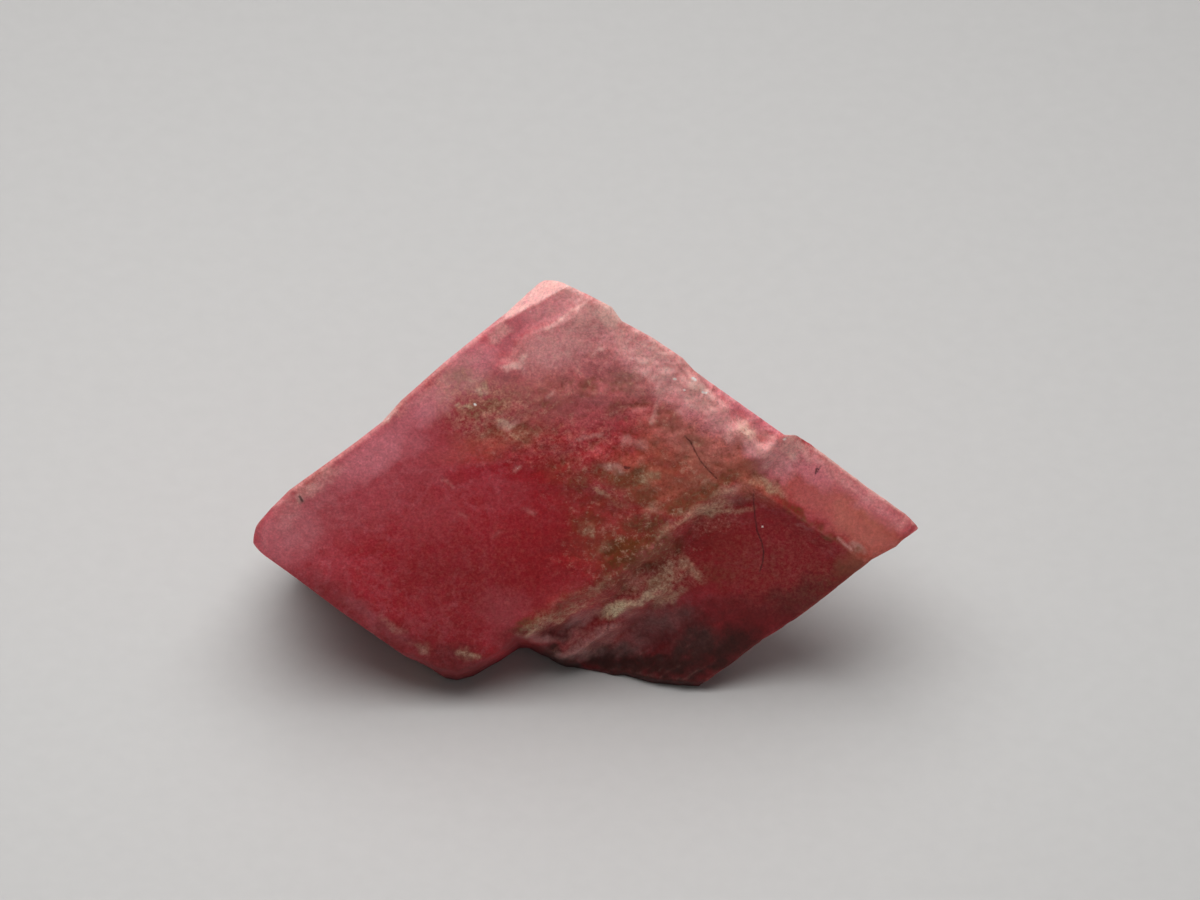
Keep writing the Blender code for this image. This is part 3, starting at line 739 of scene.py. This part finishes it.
def fine_back(left, right):
    """Narrow treads along both edges and hackly patches between them."""
    run, rise = BACK_STAIRS
    wander = 0.5 * rough(left, right, 2.6, 140.0)
    patchy = smooth(rough(left, right, 3.2, 141.0), 0.0, 0.8)
    treads = patchy * cleaved(left + wander, run, rise)
    treads += (1.0 - patchy) * cleaved(right - wander, 0.8 * run, rise)
    hackly = smooth(rough(left, right, 2.1, 142.0), 0.15, 0.5)
    return treads * (1.0 - hackly) + BACK_HACKLE * hackly * np.abs(rough(left, right, 0.5, 143.0))


def underside_hollow(left, right):
    """How far the underside stands off the rest plane; below zero it is worn flat there."""
    across, _ = seen(left, right)
    reach = ground_depth(left, right)
    heel = smooth(reach, 6.0, 1.2)
    feet = before(reach, 2.6, 1.2)
    hollow = HOLLOW_HEIGHT * before(np.abs(across - HOLLOW_CENTRE), 2.5, 1.8) * (1.0 - heel)
    worn = CONTACT_WEAR * np.maximum(feet, heel)
    return hollow - worn + UNDERSIDE_ROUGHNESS * rough(left, right, 1.3, 40.0)


def back_depth(left, right):
    """How deep the stone goes: to the nearest of its breaks or the underside."""
    wall = (BACK_WALL - left * LEFT_AXIS.y - right * RIGHT_AXIS.y) / THIRD_AXIS.y
    wing = WING_THICKNESS + WING_SLOPE * (RIGHT_EDGE - right)
    corner = LEFT_CORNER_THICKNESS + LEFT_BREAK_SLOPE * (LEFT_EDGE - left + right)
    underside = ground_depth(left, right) - underside_hollow(left, right) / -THIRD_AXIS.z
    breaks = np.minimum(np.minimum(wall, wing), corner) + back_steps(left, right) + fine_back(left, right)
    return np.minimum(breaks, underside)


def side_wear(place, depth, seed):
    """How far a side face is worn in at a place along its edge and a depth; the front edge stays."""
    swell = SIDE_SWELL * (1.0 + rough(place, depth, 3.5, seed, 2))
    grain = SIDE_GRAIN * (1.0 + rough(place, depth, 0.9, seed + 2.0))
    line = SIDE_STEP_DEPTH + 0.5 * place + 1.2 * rough(place, 0.0, 4.0, seed + 1.0, 2)
    worn = swell + grain + SIDE_STEP * smooth(depth, line, STEP_WIDTH)
    run, rise = SIDE_STAIRS
    treads = cleaved(depth + 0.35 * place + 0.6 * rough(place, depth, 1.7, seed + 3.0), run, rise)
    return (worn - treads) * smooth(depth, 0.9, 1.2)


def inset(left_share, right_share, left, right, depth):
    """The points moved in from the ideal rhomb as its four outlines and side faces ask."""
    start = along(UPPER_RIGHT_OUTLINE, right) + side_wear(right, depth, 50.0)
    end = LEFT_EDGE - along(LOWER_LEFT_OUTLINE, right) - side_wear(right, depth, 60.0)
    top = along(UPPER_LEFT_OUTLINE, left) + side_wear(left, depth, 70.0)
    bottom = RIGHT_EDGE - along(LOWER_RIGHT_OUTLINE, left) - side_wear(left, depth, 80.0)
    bottom += TIP_REACH * before(left, 0.45, 1.0)
    return start + (end - start) * left_share, top + (bottom - top) * right_share


def crowded(share):
    """Shares moved toward both ends, so that cells are smaller along the edges."""
    return share - CROWDING / (2.0 * math.pi) * np.sin(2.0 * math.pi * share)


def rounded(left_share, right_share):
    """Shares pulled in at the stone's corners, so that each corner of the face is an arc."""
    for far_left, far_right, radius in ROUNDED_CORNERS:
        reach = radius / LEFT_EDGE, radius / RIGHT_EDGE
        run = np.clip(1.0 - np.abs(far_left - left_share) / reach[0], 0.0, 1.0)
        fall = np.clip(1.0 - np.abs(far_right - right_share) / reach[1], 0.0, 1.0)
        pulled_run = run * np.sqrt(1.0 - fall * fall / 2.0)
        pulled_fall = fall * np.sqrt(1.0 - run * run / 2.0)
        left_share += (1 - 2 * far_left) * (run - pulled_run) * reach[0]
        right_share += (1 - 2 * far_right) * (fall - pulled_fall) * reach[1]
    return left_share, right_share


def stone_points(left_share, right_share, depth_share):
    """Where points of the unit cube go, and their left, right, front depth and depth."""
    left_share, right_share = rounded(crowded(left_share), crowded(right_share))
    left, right = left_share * LEFT_EDGE, right_share * RIGHT_EDGE
    inner = depth_share > 0.0
    for step in range(INSET_PASSES + 1):
        near = front_depth(left, right)
        depth = near.copy()
        thickness = back_depth(left[inner], right[inner]) - near[inner]
        depth[inner] += depth_share[inner] * np.maximum(thickness, LEAST_THICKNESS)
        if step < INSET_PASSES:
            left, right = inset(left_share, right_share, left, right, depth)
    points = np.array(TOP_CORNER) + np.outer(left, LEFT_AXIS) + np.outer(right, RIGHT_AXIS)
    return (points + np.outer(depth, THIRD_AXIS)) * MM, left, right, near, depth


def cut_loops(cage, axis, cells):
    """Split every edge of the cage that runs along an axis into equal cells."""
    edges = [e for e in cage.edges if abs((e.verts[1].co - e.verts[0].co)[axis]) > 0.5]
    bmesh.ops.subdivide_edges(cage, edges=edges, cuts=cells - 1, use_grid_fill=True)


def cut_cage():
    """A unit cube cut into cells, finer over its front."""
    cage = bmesh.new()
    bmesh.ops.create_cube(cage, size=1.0, matrix=Matrix.Translation((0.5, 0.5, 0.5)))
    for axis, cells in enumerate((FACE_CELLS, FACE_CELLS, DEPTH_CELLS)):
        cut_loops(cage, axis, cells)
    front = [e for e in cage.edges if e.verts[0].co.z < 0.001 and e.verts[1].co.z < 0.001]
    bmesh.ops.subdivide_edges(cage, edges=front, cuts=1, use_grid_fill=True)
    return cage


def points_and_normals(mesh):
    """The mesh's points and their normals, a row each."""
    spots, normals = np.empty(len(mesh.vertices) * 3), np.empty(len(mesh.vertices) * 3)
    mesh.vertices.foreach_get("co", spots)
    mesh.vertex_normals.foreach_get("vector", normals)
    return spots.reshape(-1, 3) / MM, normals.reshape(-1, 3)


def convexity(mesh, rounds):
    """How strongly the surface bulges (above 0) or sinks (below 0) at each point, in turns per millimetre."""
    spots, normals = points_and_normals(mesh)
    ends = np.empty(len(mesh.edges) * 2, int)
    mesh.edges.foreach_get("vertices", ends)
    first, second = ends.reshape(-1, 2).T
    run = spots[second] - spots[first]
    turn = np.einsum("ij,ij->i", normals[second] - normals[first], run) / np.einsum("ij,ij->i", run, run)

    def gathered(at_first, at_second):
        """Sums at the points of what lies at both ends of the edges."""
        return np.bincount(first, at_first, len(spots)) + np.bincount(second, at_second, len(spots))

    neighbours = gathered(np.ones(len(run)), np.ones(len(run)))
    bend = gathered(turn, turn) / neighbours
    for _ in range(rounds):
        bend = 0.5 * bend + 0.5 * gathered(bend[second], bend[first]) / neighbours
    return bend


def front_marks(across, below, left, right):
    """The masks of the front face by name, each between 0 and 1."""
    wobble = [0.09 * rough(across, below, 0.5, seed) for seed in (150.0, 151.0)]
    tremor = [0.04 * rough(across, below, 0.15, seed) for seed in (152.0, 153.0)]
    loose = across + 2.2 * wobble[0], below + 2.2 * wobble[1]
    tight = across + 0.35 * wobble[0] + tremor[0], below + 0.35 * wobble[1] + tremor[1]
    marks = {name: patches(*loose, spots) for name, spots in PATCHES.items()}
    for name, lines in STROKES.items():
        marks[name] = np.maximum(marks[name], strokes(*tight, lines))
    marks["crack"], marks["painted_glint"] = halos(across, below, CRACKS), halos(across, below, PAINTED_GLINTS)
    marks["crumbs"] *= 0.55 + 0.45 * smooth(crumb_rows(*tight), 0.3, 0.8)
    facet = smooth(peak_facet(left, right), 0.02, 0.03) * before(left, FACET_FADE, 0.6)
    chip = chip_share(left, right) * (1.0 - facet)
    upper_chip = chip * before(left, 1.5, 1.6)
    band = band_share(left, right)
    lower_facet = beyond_facet_brink(left, right) * smooth(left, TIP_RIDGE, 0.12)
    # The facets change the marks: the peak facet, which faces the light, gets haze and highlight as painted
    # light; the lower facet, which faces down, gets painted shade.
    changes = (
        ("deep", np.maximum(band, chip), 0.0),
        ("stain", chip, 0.0),
        ("haze_and_painted_light", 0.0, 0.9 * band),
        ("haze_and_painted_light", 0.6 * chip, 0.62 * chip + 0.38 * upper_chip),
        ("haze_and_painted_light", 0.0, 0.95 * facet),
        ("haze_and_painted_light", lower_facet, 0.0),
        ("bloom_and_highlight", 0.4 * chip, np.maximum(0.66 * facet, 0.3 * upper_chip)),
        ("painted_shade", 0.0, 0.3 * lower_facet),
    )
    for name, loss, least in changes:
        marks[name] = np.maximum(marks[name] * (1.0 - loss), least)
    return marks


def other_marks(spots, down):
    """The masks of the side faces, the back and the underside by name."""
    broad = rough_in_space(spots, 3.6, 160.0)
    patchy = rough_in_space(spots, 2.2, 161.0)
    fine = rough_in_space(spots, 0.5, 162.0)
    return {
        "haze_and_painted_light": 0.12 + smooth(broad + 0.25 * fine, 0.15, 1.0) * 0.6,
        "peach": smooth(patchy, 0.2, 0.8) * 0.45,
        "deep": smooth(-broad + 0.3 * patchy, 0.1, 0.8) * 0.6,
        "stain": smooth(patchy + 0.45 * fine, 0.6, 0.45) * 0.5,
        # painted shade on the faces that look down
        "painted_shade": smooth(down, 0.25, 1.1) * 0.5,
        "lavender_and_sheen": smooth(-patchy + 0.3 * broad, 0.45, 0.5) * 0.25,
        "bloom_and_highlight": smooth(0.5 * patchy - fine, 0.8, 0.4) * 0.35,
        "crust": smooth(fine + 0.6 * broad, 0.8, 0.4) * 0.35,
        "crumbs": smooth(patchy, 0.35, 0.6) * 0.4,
        "crack": np.zeros(len(spots)),
        "painted_glint": np.zeros(len(spots)),
    }


def write_marks(mesh, left, right, near, depth):
    """Keep every mask with the mesh's points, under its own name."""
    spots, normals = points_and_normals(mesh)
    from_corner = spots - np.array(TOP_CORNER)
    across, below = from_corner @ np.array(VIEW_SIDE), -(from_corner @ np.array(VIEW_UP))
    front = before(depth - near, 0.3, 0.5)
    on_front = front > 0.0
    marks = other_marks(spots, -normals[:, 2])
    painted = front_marks(*(values[on_front] for values in (across, below, left, right)))
    for name, values in marks.items():
        values[on_front] += (painted[name] - values[on_front]) * front[on_front]
    bend = convexity(mesh, 2)
    etched = front * etched_share(left, right)
    # Pale worn edges: convex edges, made stronger on faces that look up, so that they are partly a painted
    # highlight; weaker under the painted shade and in the etched middle.
    upward = smooth(normals[:, 2], 0.35, 0.6)
    worn = smooth(bend, 2.6, 3.6) * np.where(on_front, 0.12 + 0.88 * upward, 0.5 + 0.5 * upward)
    marks["worn"] = worn * (1.0 - 0.85 * marks["painted_shade"]) * (1.0 - 0.8 * etched)
    marks["hollow"] = smooth(-bend, 1.8, 3.0) * (1.0 - front * before(left, 1.3, 0.8))
    marks["etched"] = np.maximum(etched, 0.5 * (1.0 - front))
    for name, values in marks.items():
        layer = mesh.attributes.new(name, "FLOAT", "POINT")
        layer.data.foreach_set("value", values.astype(np.float32))


def stone_mesh():
    """The stone as one closed mesh, cut flat where it touches the surface it lies on."""
    cage = cut_cage()
    shares = np.array([vertex.co for vertex in cage.verts])
    points, *places = stone_points(*shares.T)
    layers = [cage.verts.layers.float.new(name) for name in PLACES]
    for vertex, point, *values in zip(cage.verts, points.tolist(), *(place.tolist() for place in places)):
        vertex.co = point
        for layer, value in zip(layers, values):
            vertex[layer] = value
    everything = cage.verts[:] + cage.edges[:] + cage.faces[:]
    bmesh.ops.bisect_plane(cage, geom=everything, plane_co=(0, 0, 0), plane_no=(0, 0, -1), clear_outer=True)
    bmesh.ops.holes_fill(cage, edges=[e for e in cage.edges if e.is_boundary], sides=0)
    bmesh.ops.triangulate(cage, faces=cage.faces)
    bmesh.ops.recalc_face_normals(cage, faces=cage.faces)
    mesh = bpy.data.meshes.new("crystal_surface")
    cage.to_mesh(mesh)
    cage.free()
    read = []
    for name in PLACES:
        values = np.empty(len(mesh.vertices), np.float32)
        mesh.attributes[name].data.foreach_get("value", values)
        mesh.attributes.remove(mesh.attributes[name])
        read.append(values.astype(float))
    write_marks(mesh, *read)
    return mesh


def add_node(tree, kind, links=None, **settings):
    """A new node with its settings, and its inputs set to values or joined to other nodes' outputs."""
    made = tree.nodes.new(kind)
    for name, value in settings.items():
        setattr(made, name, value)
    for key, value in (links or {}).items():
        if isinstance(value, bpy.types.NodeSocket):
            tree.links.new(value, made.inputs[key])
        else:
            made.inputs[key].default_value = value
    return made


def reckon(tree, operation, *values):
    """A Math node's output."""
    return add_node(tree, "ShaderNodeMath", dict(enumerate(values)), operation=operation).outputs[0]


def product(tree, first, second):
    """Two values multiplied."""
    return reckon(tree, "MULTIPLY", first, second)


def swayed(tree, grain, amount, base):
    """A value that sways with noise around its base."""
    return reckon(tree, "MULTIPLY_ADD", reckon(tree, "SUBTRACT", grain, 0.5), amount, base)


def grain_effect():
    """The grain that every finish here carries: noise between 0 and 1 whose lumps are of one size."""
    tree = bpy.data.node_groups.new("grain", "ShaderNodeTree")
    size = tree.interface.new_socket("Size", in_out="INPUT", socket_type="NodeSocketFloat")
    size.subtype = "DISTANCE"
    size.default_value = 0.5 * MM
    for name, default in (("Detail", 4.0), ("Roughness", 0.6)):
        tree.interface.new_socket(name, in_out="INPUT", socket_type="NodeSocketFloat").default_value = default
    tree.interface.new_socket("Grain", in_out="OUTPUT", socket_type="NodeSocketFloat")
    given = tree.nodes.new("NodeGroupInput").outputs
    place = add_node(tree, "ShaderNodeTexCoord").outputs["Object"]
    scale = reckon(tree, "DIVIDE", 1.0, given["Size"])
    inputs = {"Vector": place, "Scale": scale, "Detail": given["Detail"], "Roughness": given["Roughness"]}
    made = add_node(tree, "ShaderNodeTexNoise", inputs).outputs["Fac"]
    add_node(tree, "NodeGroupOutput", {"Grain": made})
    return tree


def grains(tree, size, detail, roughness):
    """The shared grain, placed in a material with its own values."""
    made = tree.nodes.new("ShaderNodeGroup")
    made.node_tree = bpy.data.node_groups.get("grain") or grain_effect()
    for name, value in (("Size", size * MM), ("Detail", detail), ("Roughness", roughness)):
        made.inputs[name].default_value = value
    return made.outputs["Grain"]


def mask(tree, name):
    """A mask kept with the mesh."""
    return add_node(tree, "ShaderNodeAttribute", attribute_name=name).outputs["Fac"]


def uneven(tree, source, grain, amount):
    """A mask that varies in strength with noise and keeps its soft edge."""
    made = product(tree, source, swayed(tree, grain, amount, 1.0))
    made.node.use_clamp = True
    return made


def sharpened(tree, source, start, end):
    """A mask that is 0 up to the start and 1 from the end on; it falls instead where the end comes first."""
    inputs = {"Value": source, "From Min": start, "From Max": end}
    return add_node(tree, "ShaderNodeMapRange", inputs, interpolation_type="SMOOTHSTEP").outputs["Result"]


def tinted(tree, colour, target, share):
    """A colour moved toward another one by a share."""
    inputs = {0: share, 6: colour, 7: target}
    return add_node(tree, "ShaderNodeMix", inputs, data_type="RGBA").outputs[2]


def stone_layers(tree, masks, grain):
    """What lies over the clear stone, from the bottom up: the name of a colour and the share of it."""
    times, cut, vary = partial(product, tree), partial(sharpened, tree), partial(uneven, tree)
    streaks = reckon(tree, "ABSOLUTE", reckon(tree, "SUBTRACT", grain["streaks"], 0.5))
    wisps = times(cut(streaks, 0.07, 0.0), times(grain["clouds"], 0.24))
    etched = times(masks["etched"], 0.31)
    netted = times(times(reckon(tree, "MINIMUM", masks["stain"], 0.7), 0.58), masks["etched"])
    dirt = times(times(masks["hollow"], masks["etched"]), 0.5)
    mottle, specks, grit, dust = (grain[name] for name in ("mottle", "specks", "grit", "dust"))
    return (
        ("haze_and_painted_light", wisps),
        ("haze_and_painted_light", times(cut(grit, 0.52, 0.66), 0.22)),
        ("deep", times(cut(grit, 0.48, 0.36), 0.4)),
        ("deep", vary(masks["deep"], mottle, 0.8)),
        ("peach", vary(masks["peach"], mottle, 1.0)),
        # milky haze, partly painted light that makes the upper face paler
        ("haze_and_painted_light", vary(masks["haze_and_painted_light"], mottle, 0.9)),
        ("stain", vary(masks["stain"], dust, 4.5)),
        ("stain", vary(dirt, mottle, 0.8)),
        # painted shade, darker towards the bottom, over the break and on faces that look down
        ("painted_shade", vary(masks["painted_shade"], mottle, 0.5)),
        # pale mauve, partly a painted sheen on the break
        ("lavender_and_sheen", vary(masks["lavender_and_sheen"], grit, 3.0)),
        ("crust", times(netted, cut(grit, 0.52, 0.66))),
        ("stain", times(netted, cut(grit, 0.47, 0.37))),
        ("crumb", times(etched, cut(grit, 0.52, 0.68))),
        ("stain", times(etched, cut(dust, 0.48, 0.34))),
        ("bloom_and_highlight", times(etched, cut(dust, 0.58, 0.8))),
        ("crumb", vary(times(masks["crumbs"], 0.53), dust, 10.0)),
        ("crust", vary(masks["crust"], dust, 4.5)),
        # whitish bloom, partly painted highlights on lumps, ridges and facets
        ("bloom_and_highlight", vary(masks["bloom_and_highlight"], grit, 4.0)),
        # worn edges, partly a painted highlight on the edges that face up
        ("bloom_and_highlight", vary(times(masks["worn"], 0.35), specks, 1.0)),
        ("crack", times(cut(masks["crack"], 0.52, 0.8), 0.75)),
        # painted glints: tiny bright highlights
        ("painted_glint", cut(masks["painted_glint"], 0.45, 0.7)),
    )


def new_material(name):
    """A plain material with its nodes and its shader."""
    material = bpy.data.materials.new(name)
    material.use_nodes = True
    return material, material.node_tree, material.node_tree.nodes["Principled BSDF"]


def rhodochrosite(colours, finish):
    """The stone's material: clear crimson under haze, stains, crust and pale worn edges, with painted light:
    haze paler toward the top, highlights, glints, a sheen and painted shade toward the bottom.
    """
    material, tree, shader = new_material("rhodochrosite")
    grain = {name: grains(tree, *values) for name, values in STONE_GRAINS.items()}
    masks = {name: mask(tree, name) for name in MASKS}
    mottle, specks = grain["mottle"], grain["specks"]
    milky = sharpened(tree, swayed(tree, mottle, 0.8, grain["clouds"]), 0.2, 0.8)
    colour = tinted(tree, (*colours.body, 1.0), (*colours.deep, 1.0), milky)
    for name, share in stone_layers(tree, masks, grain):
        colour = tinted(tree, colour, (*getattr(colours, name), 1.0), share)
    fine = swayed(tree, grain["sugar"], 0.8, swayed(tree, specks, 0.5, 1.0))
    varied = add_node(tree, "ShaderNodeVectorMath", {0: colour, 3: fine}, operation="SCALE").outputs[0]
    crusted = reckon(tree, "MULTIPLY_ADD", masks["crust"], 0.3, finish.roughness)
    matt = reckon(tree, "MULTIPLY_ADD", masks["painted_glint"], -0.25, swayed(tree, mottle, 0.3, crusted))
    pitted = reckon(tree, "MULTIPLY_ADD", masks["etched"], 0.75, 0.25)
    height = product(tree, pitted, reckon(tree, "MULTIPLY_ADD", specks, 0.4, mottle))
    relief = {"Height": height, "Strength": 0.5, "Distance": finish.grain_depth}
    bumpy = add_node(tree, "ShaderNodeBump", relief).outputs["Normal"]
    for name, source in (("Base Color", varied), ("Roughness", matt), ("Normal", bumpy)):
        tree.links.new(source, shader.inputs[name])
    shader.inputs["Subsurface Weight"].default_value = finish.translucency
    shader.inputs["Subsurface Radius"].default_value = GLOW_COLOURS
    shader.inputs["Subsurface Scale"].default_value = finish.glow_depth
    shader.inputs["IOR"].default_value = BENDING
    shader.inputs["Specular IOR Level"].default_value = SHINE
    return material


def pale_surface(colour):
    """The plain floor's material: a pale matt sheet with a faint grain."""
    material, tree, shader = new_material("pale_floor")
    darker = (*(FLOOR_SHADE * part for part in colour), 1.0)
    tone = tinted(tree, darker, (*colour, 1.0), grains(tree, *FLOOR_GRAIN))
    tree.links.new(tone, shader.inputs["Base Color"])
    shader.inputs["Roughness"].default_value = FLOOR_ROUGHNESS
    return material


def add_light(name, kind, place=(0.0, 0.0, 0.0), turn=(0.0, 0.0, 0.0), **values):
    """A light with its own settings."""
    lamp = bpy.data.lights.new(name, kind)
    for key, value in values.items():
        setattr(lamp, key, value)
    light = bpy.data.objects.new(name, lamp)
    light.location, light.rotation_euler = place, turn
    bpy.context.scene.collection.objects.link(light)


def soft_light(name, spot, power):
    """A square soft light that faces the stone."""
    place, size = spot
    turn = (LIGHTS_AIM - place).to_track_quat("-Z", "Y").to_euler()
    add_light(name, "AREA", place, turn, size=size, energy=power)


def view_camera(shift):
    """The camera: it looks straight along the stone's third edge."""
    lens = bpy.data.cameras.new("camera")
    lens.sensor_width = SENSOR_WIDTH
    lens.lens = SENSOR_WIDTH * VIEW_DISTANCE / VIEW_WIDTH
    lens.clip_start = NEAREST_SEEN * MM
    camera = bpy.data.objects.new("camera", lens)
    across, below = VIEW_CENTRE
    place = TOP_CORNER + across * VIEW_SIDE - below * VIEW_UP - VIEW_DISTANCE * THIRD_AXIS
    camera.location = place * MM + Vector(shift)
    camera.rotation_euler = THIRD_AXIS.to_track_quat("-Z", "Y").to_euler()
    bpy.context.scene.collection.objects.link(camera)
    bpy.context.scene.camera = camera


def colour_property(name, description, default):
    """A colour that a user may change."""
    return FloatVectorProperty(
        name=name, description=description, default=default, subtype="COLOR", min=0.0, max=1.0
    )


def value_property(name, description, default, **kind):
    """A number from 0 up that a user may change."""
    return FloatProperty(name=name, description=description, default=default, min=0.0, **kind)


class StoneColours(bpy.types.PropertyGroup):
    body: colour_property("Body", "Clear crimson of the smooth faces", (0.50, 0.030, 0.050))
    deep: colour_property("Deep", "Saturated red where the stone is clearest", (0.40, 0.008, 0.017))
    # milky haze, partly painted light toward the top of the face
    haze_and_painted_light: colour_property("Haze", "Milky pink near the edges", (0.77, 0.24, 0.285))
    peach: colour_property("Peach", "Orange pink of the raised plate", (0.60, 0.16, 0.095))
    # painted shade: purple brown darkening of the break and the stone's lower parts
    painted_shade: colour_property("Dusk", "Purple brown of the break", (0.05, 0.013, 0.011))
    stain: colour_property("Stain", "Olive brown stain in the pits", (0.19, 0.044, 0.009))
    # pale mauve, partly a painted sheen on the break's ledges
    lavender_and_sheen: colour_property("Lavender", "Pale mauve film on the ledges", (0.50, 0.25, 0.24))
    crumb: colour_property("Crumb", "Pale crumbs in the etched middle", (0.72, 0.34, 0.25))
    crust: colour_property("Crust", "Cream crust on the ridges", (0.70, 0.55, 0.36))
    # whitish bloom, partly painted highlights where lumps, ridges and facets face the light
    bloom_and_highlight: colour_property("Bloom", "Whitish pink of crushed edges and lumps", (0.95, 0.56, 0.50))
    crack: colour_property("Crack", "Dark line of a hair crack", (0.05, 0.015, 0.015))
    # painted glints: tiny bright highlights
    painted_glint: colour_property("Glint", "Tiny bright cleavage spots", (1.0, 0.84, 0.80))


class StoneFinish(bpy.types.PropertyGroup):
    roughness: value_property("Roughness", "How matt the smooth faces are", 0.46, **SHARE)
    translucency: value_property("Translucency", "Share of light that enters the stone", 0.35, **SHARE)
    glow_depth: value_property("Glow depth", "How deep red light spreads in the stone", 0.7 * MM, **LENGTH)
    grain_depth: value_property("Grain depth", "Depth of the finest surface grain", 0.05 * MM, **LENGTH)


class StudioSetup(bpy.types.PropertyGroup):
    floor: colour_property("Floor", "Colour of the plain floor", (0.60, 0.59, 0.58))
    overhead: value_property("Overhead light", "Power of the soft light above", 0.054, **POWER)
    ceiling: value_property("Ceiling light", "Strength of the broad even light from above", 0.7)
    front: value_property("Front light", "Power of the weak light in front", 0.055, **POWER)
    sky: value_property("Room light", "Strength of the even light all round", 0.115)


def settings():
    """The user's values, kept with the scene."""
    scene = bpy.context.scene
    return scene.crystal_colours, scene.crystal_finish, scene.crystal_studio


class CRYSTAL_OT_stone(bpy.types.Operator):
    """Make the rhodochrosite crystal in place of its plain solid"""

    bl_idname = "crystal.stone"
    bl_label = "Crystal"

    def execute(self, context):
        colours, finish, _ = settings()
        mesh = stone_mesh()
        mesh.materials.append(rhodochrosite(colours, finish))
        mesh.shade_smooth()
        mesh.set_sharp_from_angle(angle=CREASE_ANGLE)
        xs, ys = zip(*(vertex.co.xy for vertex in mesh.vertices))
        low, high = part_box("crystal")
        shift = Vector((low.x + high.x - min(xs) - max(xs), low.y + high.y - min(ys) - max(ys), 0.0)) / 2.0
        mesh.transform(Matrix.Translation(shift))
        stone = bpy.data.objects.new("rhodochrosite_crystal", mesh)
        context.scene.collection.objects.link(stone)
        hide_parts("crystal")
        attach(stone, "root")
        stone["view_shift"] = list(shift)
        return {"FINISHED"}


class CRYSTAL_OT_stage(bpy.types.Operator):
    """Make the plain floor, the soft lights and the camera"""

    bl_idname = "crystal.stage"
    bl_label = "Stage"

    def execute(self, context):
        _, _, studio = settings()
        bpy.ops.mesh.primitive_plane_add(size=FLOOR_SIZE, location=(0.0, 0.0, 0.0))
        floor = context.object
        floor.name = "floor"
        floor.data.materials.append(pale_surface(studio.floor))
        soft_light("overhead", OVERHEAD, studio.overhead)
        soft_light("front", FRONT, studio.front)
        tilt = (CEILING_TILT, 0.0, 0.0)
        add_light("ceiling", "SUN", turn=tilt, angle=CEILING_SPREAD, energy=studio.ceiling)
        world = bpy.data.worlds.new("room")
        world.use_nodes = True
        sky = world.node_tree.nodes["Background"].inputs
        sky["Color"].default_value = (1.0, 1.0, 1.0, 1.0)
        sky["Strength"].default_value = studio.sky
        context.scene.world = world
        context.scene.view_settings.view_transform = "Standard"
        stone = bpy.data.objects.get("rhodochrosite_crystal")
        if stone is None:
            raise RuntimeError("make the crystal before its stage")
        view_camera(stone["view_shift"])
        return {"FINISHED"}


class CRYSTAL_PT_panel(bpy.types.Panel):
    """The crystal's pieces and values"""

    bl_idname = "CRYSTAL_PT_panel"
    bl_label = "Rhodochrosite crystal"
    bl_space_type = "VIEW_3D"
    bl_region_type = "UI"
    bl_category = "Crystal"

    def draw(self, context):
        for operator in (CRYSTAL_OT_stone, CRYSTAL_OT_stage):
            self.layout.operator(operator.bl_idname)
        for group in settings():
            for name in group.__annotations__:
                self.layout.prop(group, name)


CLASSES = (StoneColours, StoneFinish, StudioSetup, CRYSTAL_OT_stone, CRYSTAL_OT_stage, CRYSTAL_PT_panel)


def register():
    """Make the classes and the scene's values known."""
    for made in CLASSES:
        bpy.utils.register_class(made)
    bpy.types.Scene.crystal_colours = PointerProperty(type=StoneColours)
    bpy.types.Scene.crystal_finish = PointerProperty(type=StoneFinish)
    bpy.types.Scene.crystal_studio = PointerProperty(type=StudioSetup)


def unregister():
    """Forget the scene's values and the classes."""
    del bpy.types.Scene.crystal_colours, bpy.types.Scene.crystal_finish, bpy.types.Scene.crystal_studio
    for made in reversed(CLASSES):
        bpy.utils.unregister_class(made)


def main():
    """Make everything in order."""
    register()
    bpy.ops.crystal.stone()
    bpy.ops.crystal.stage()


if __name__ == "__main__":
    main()
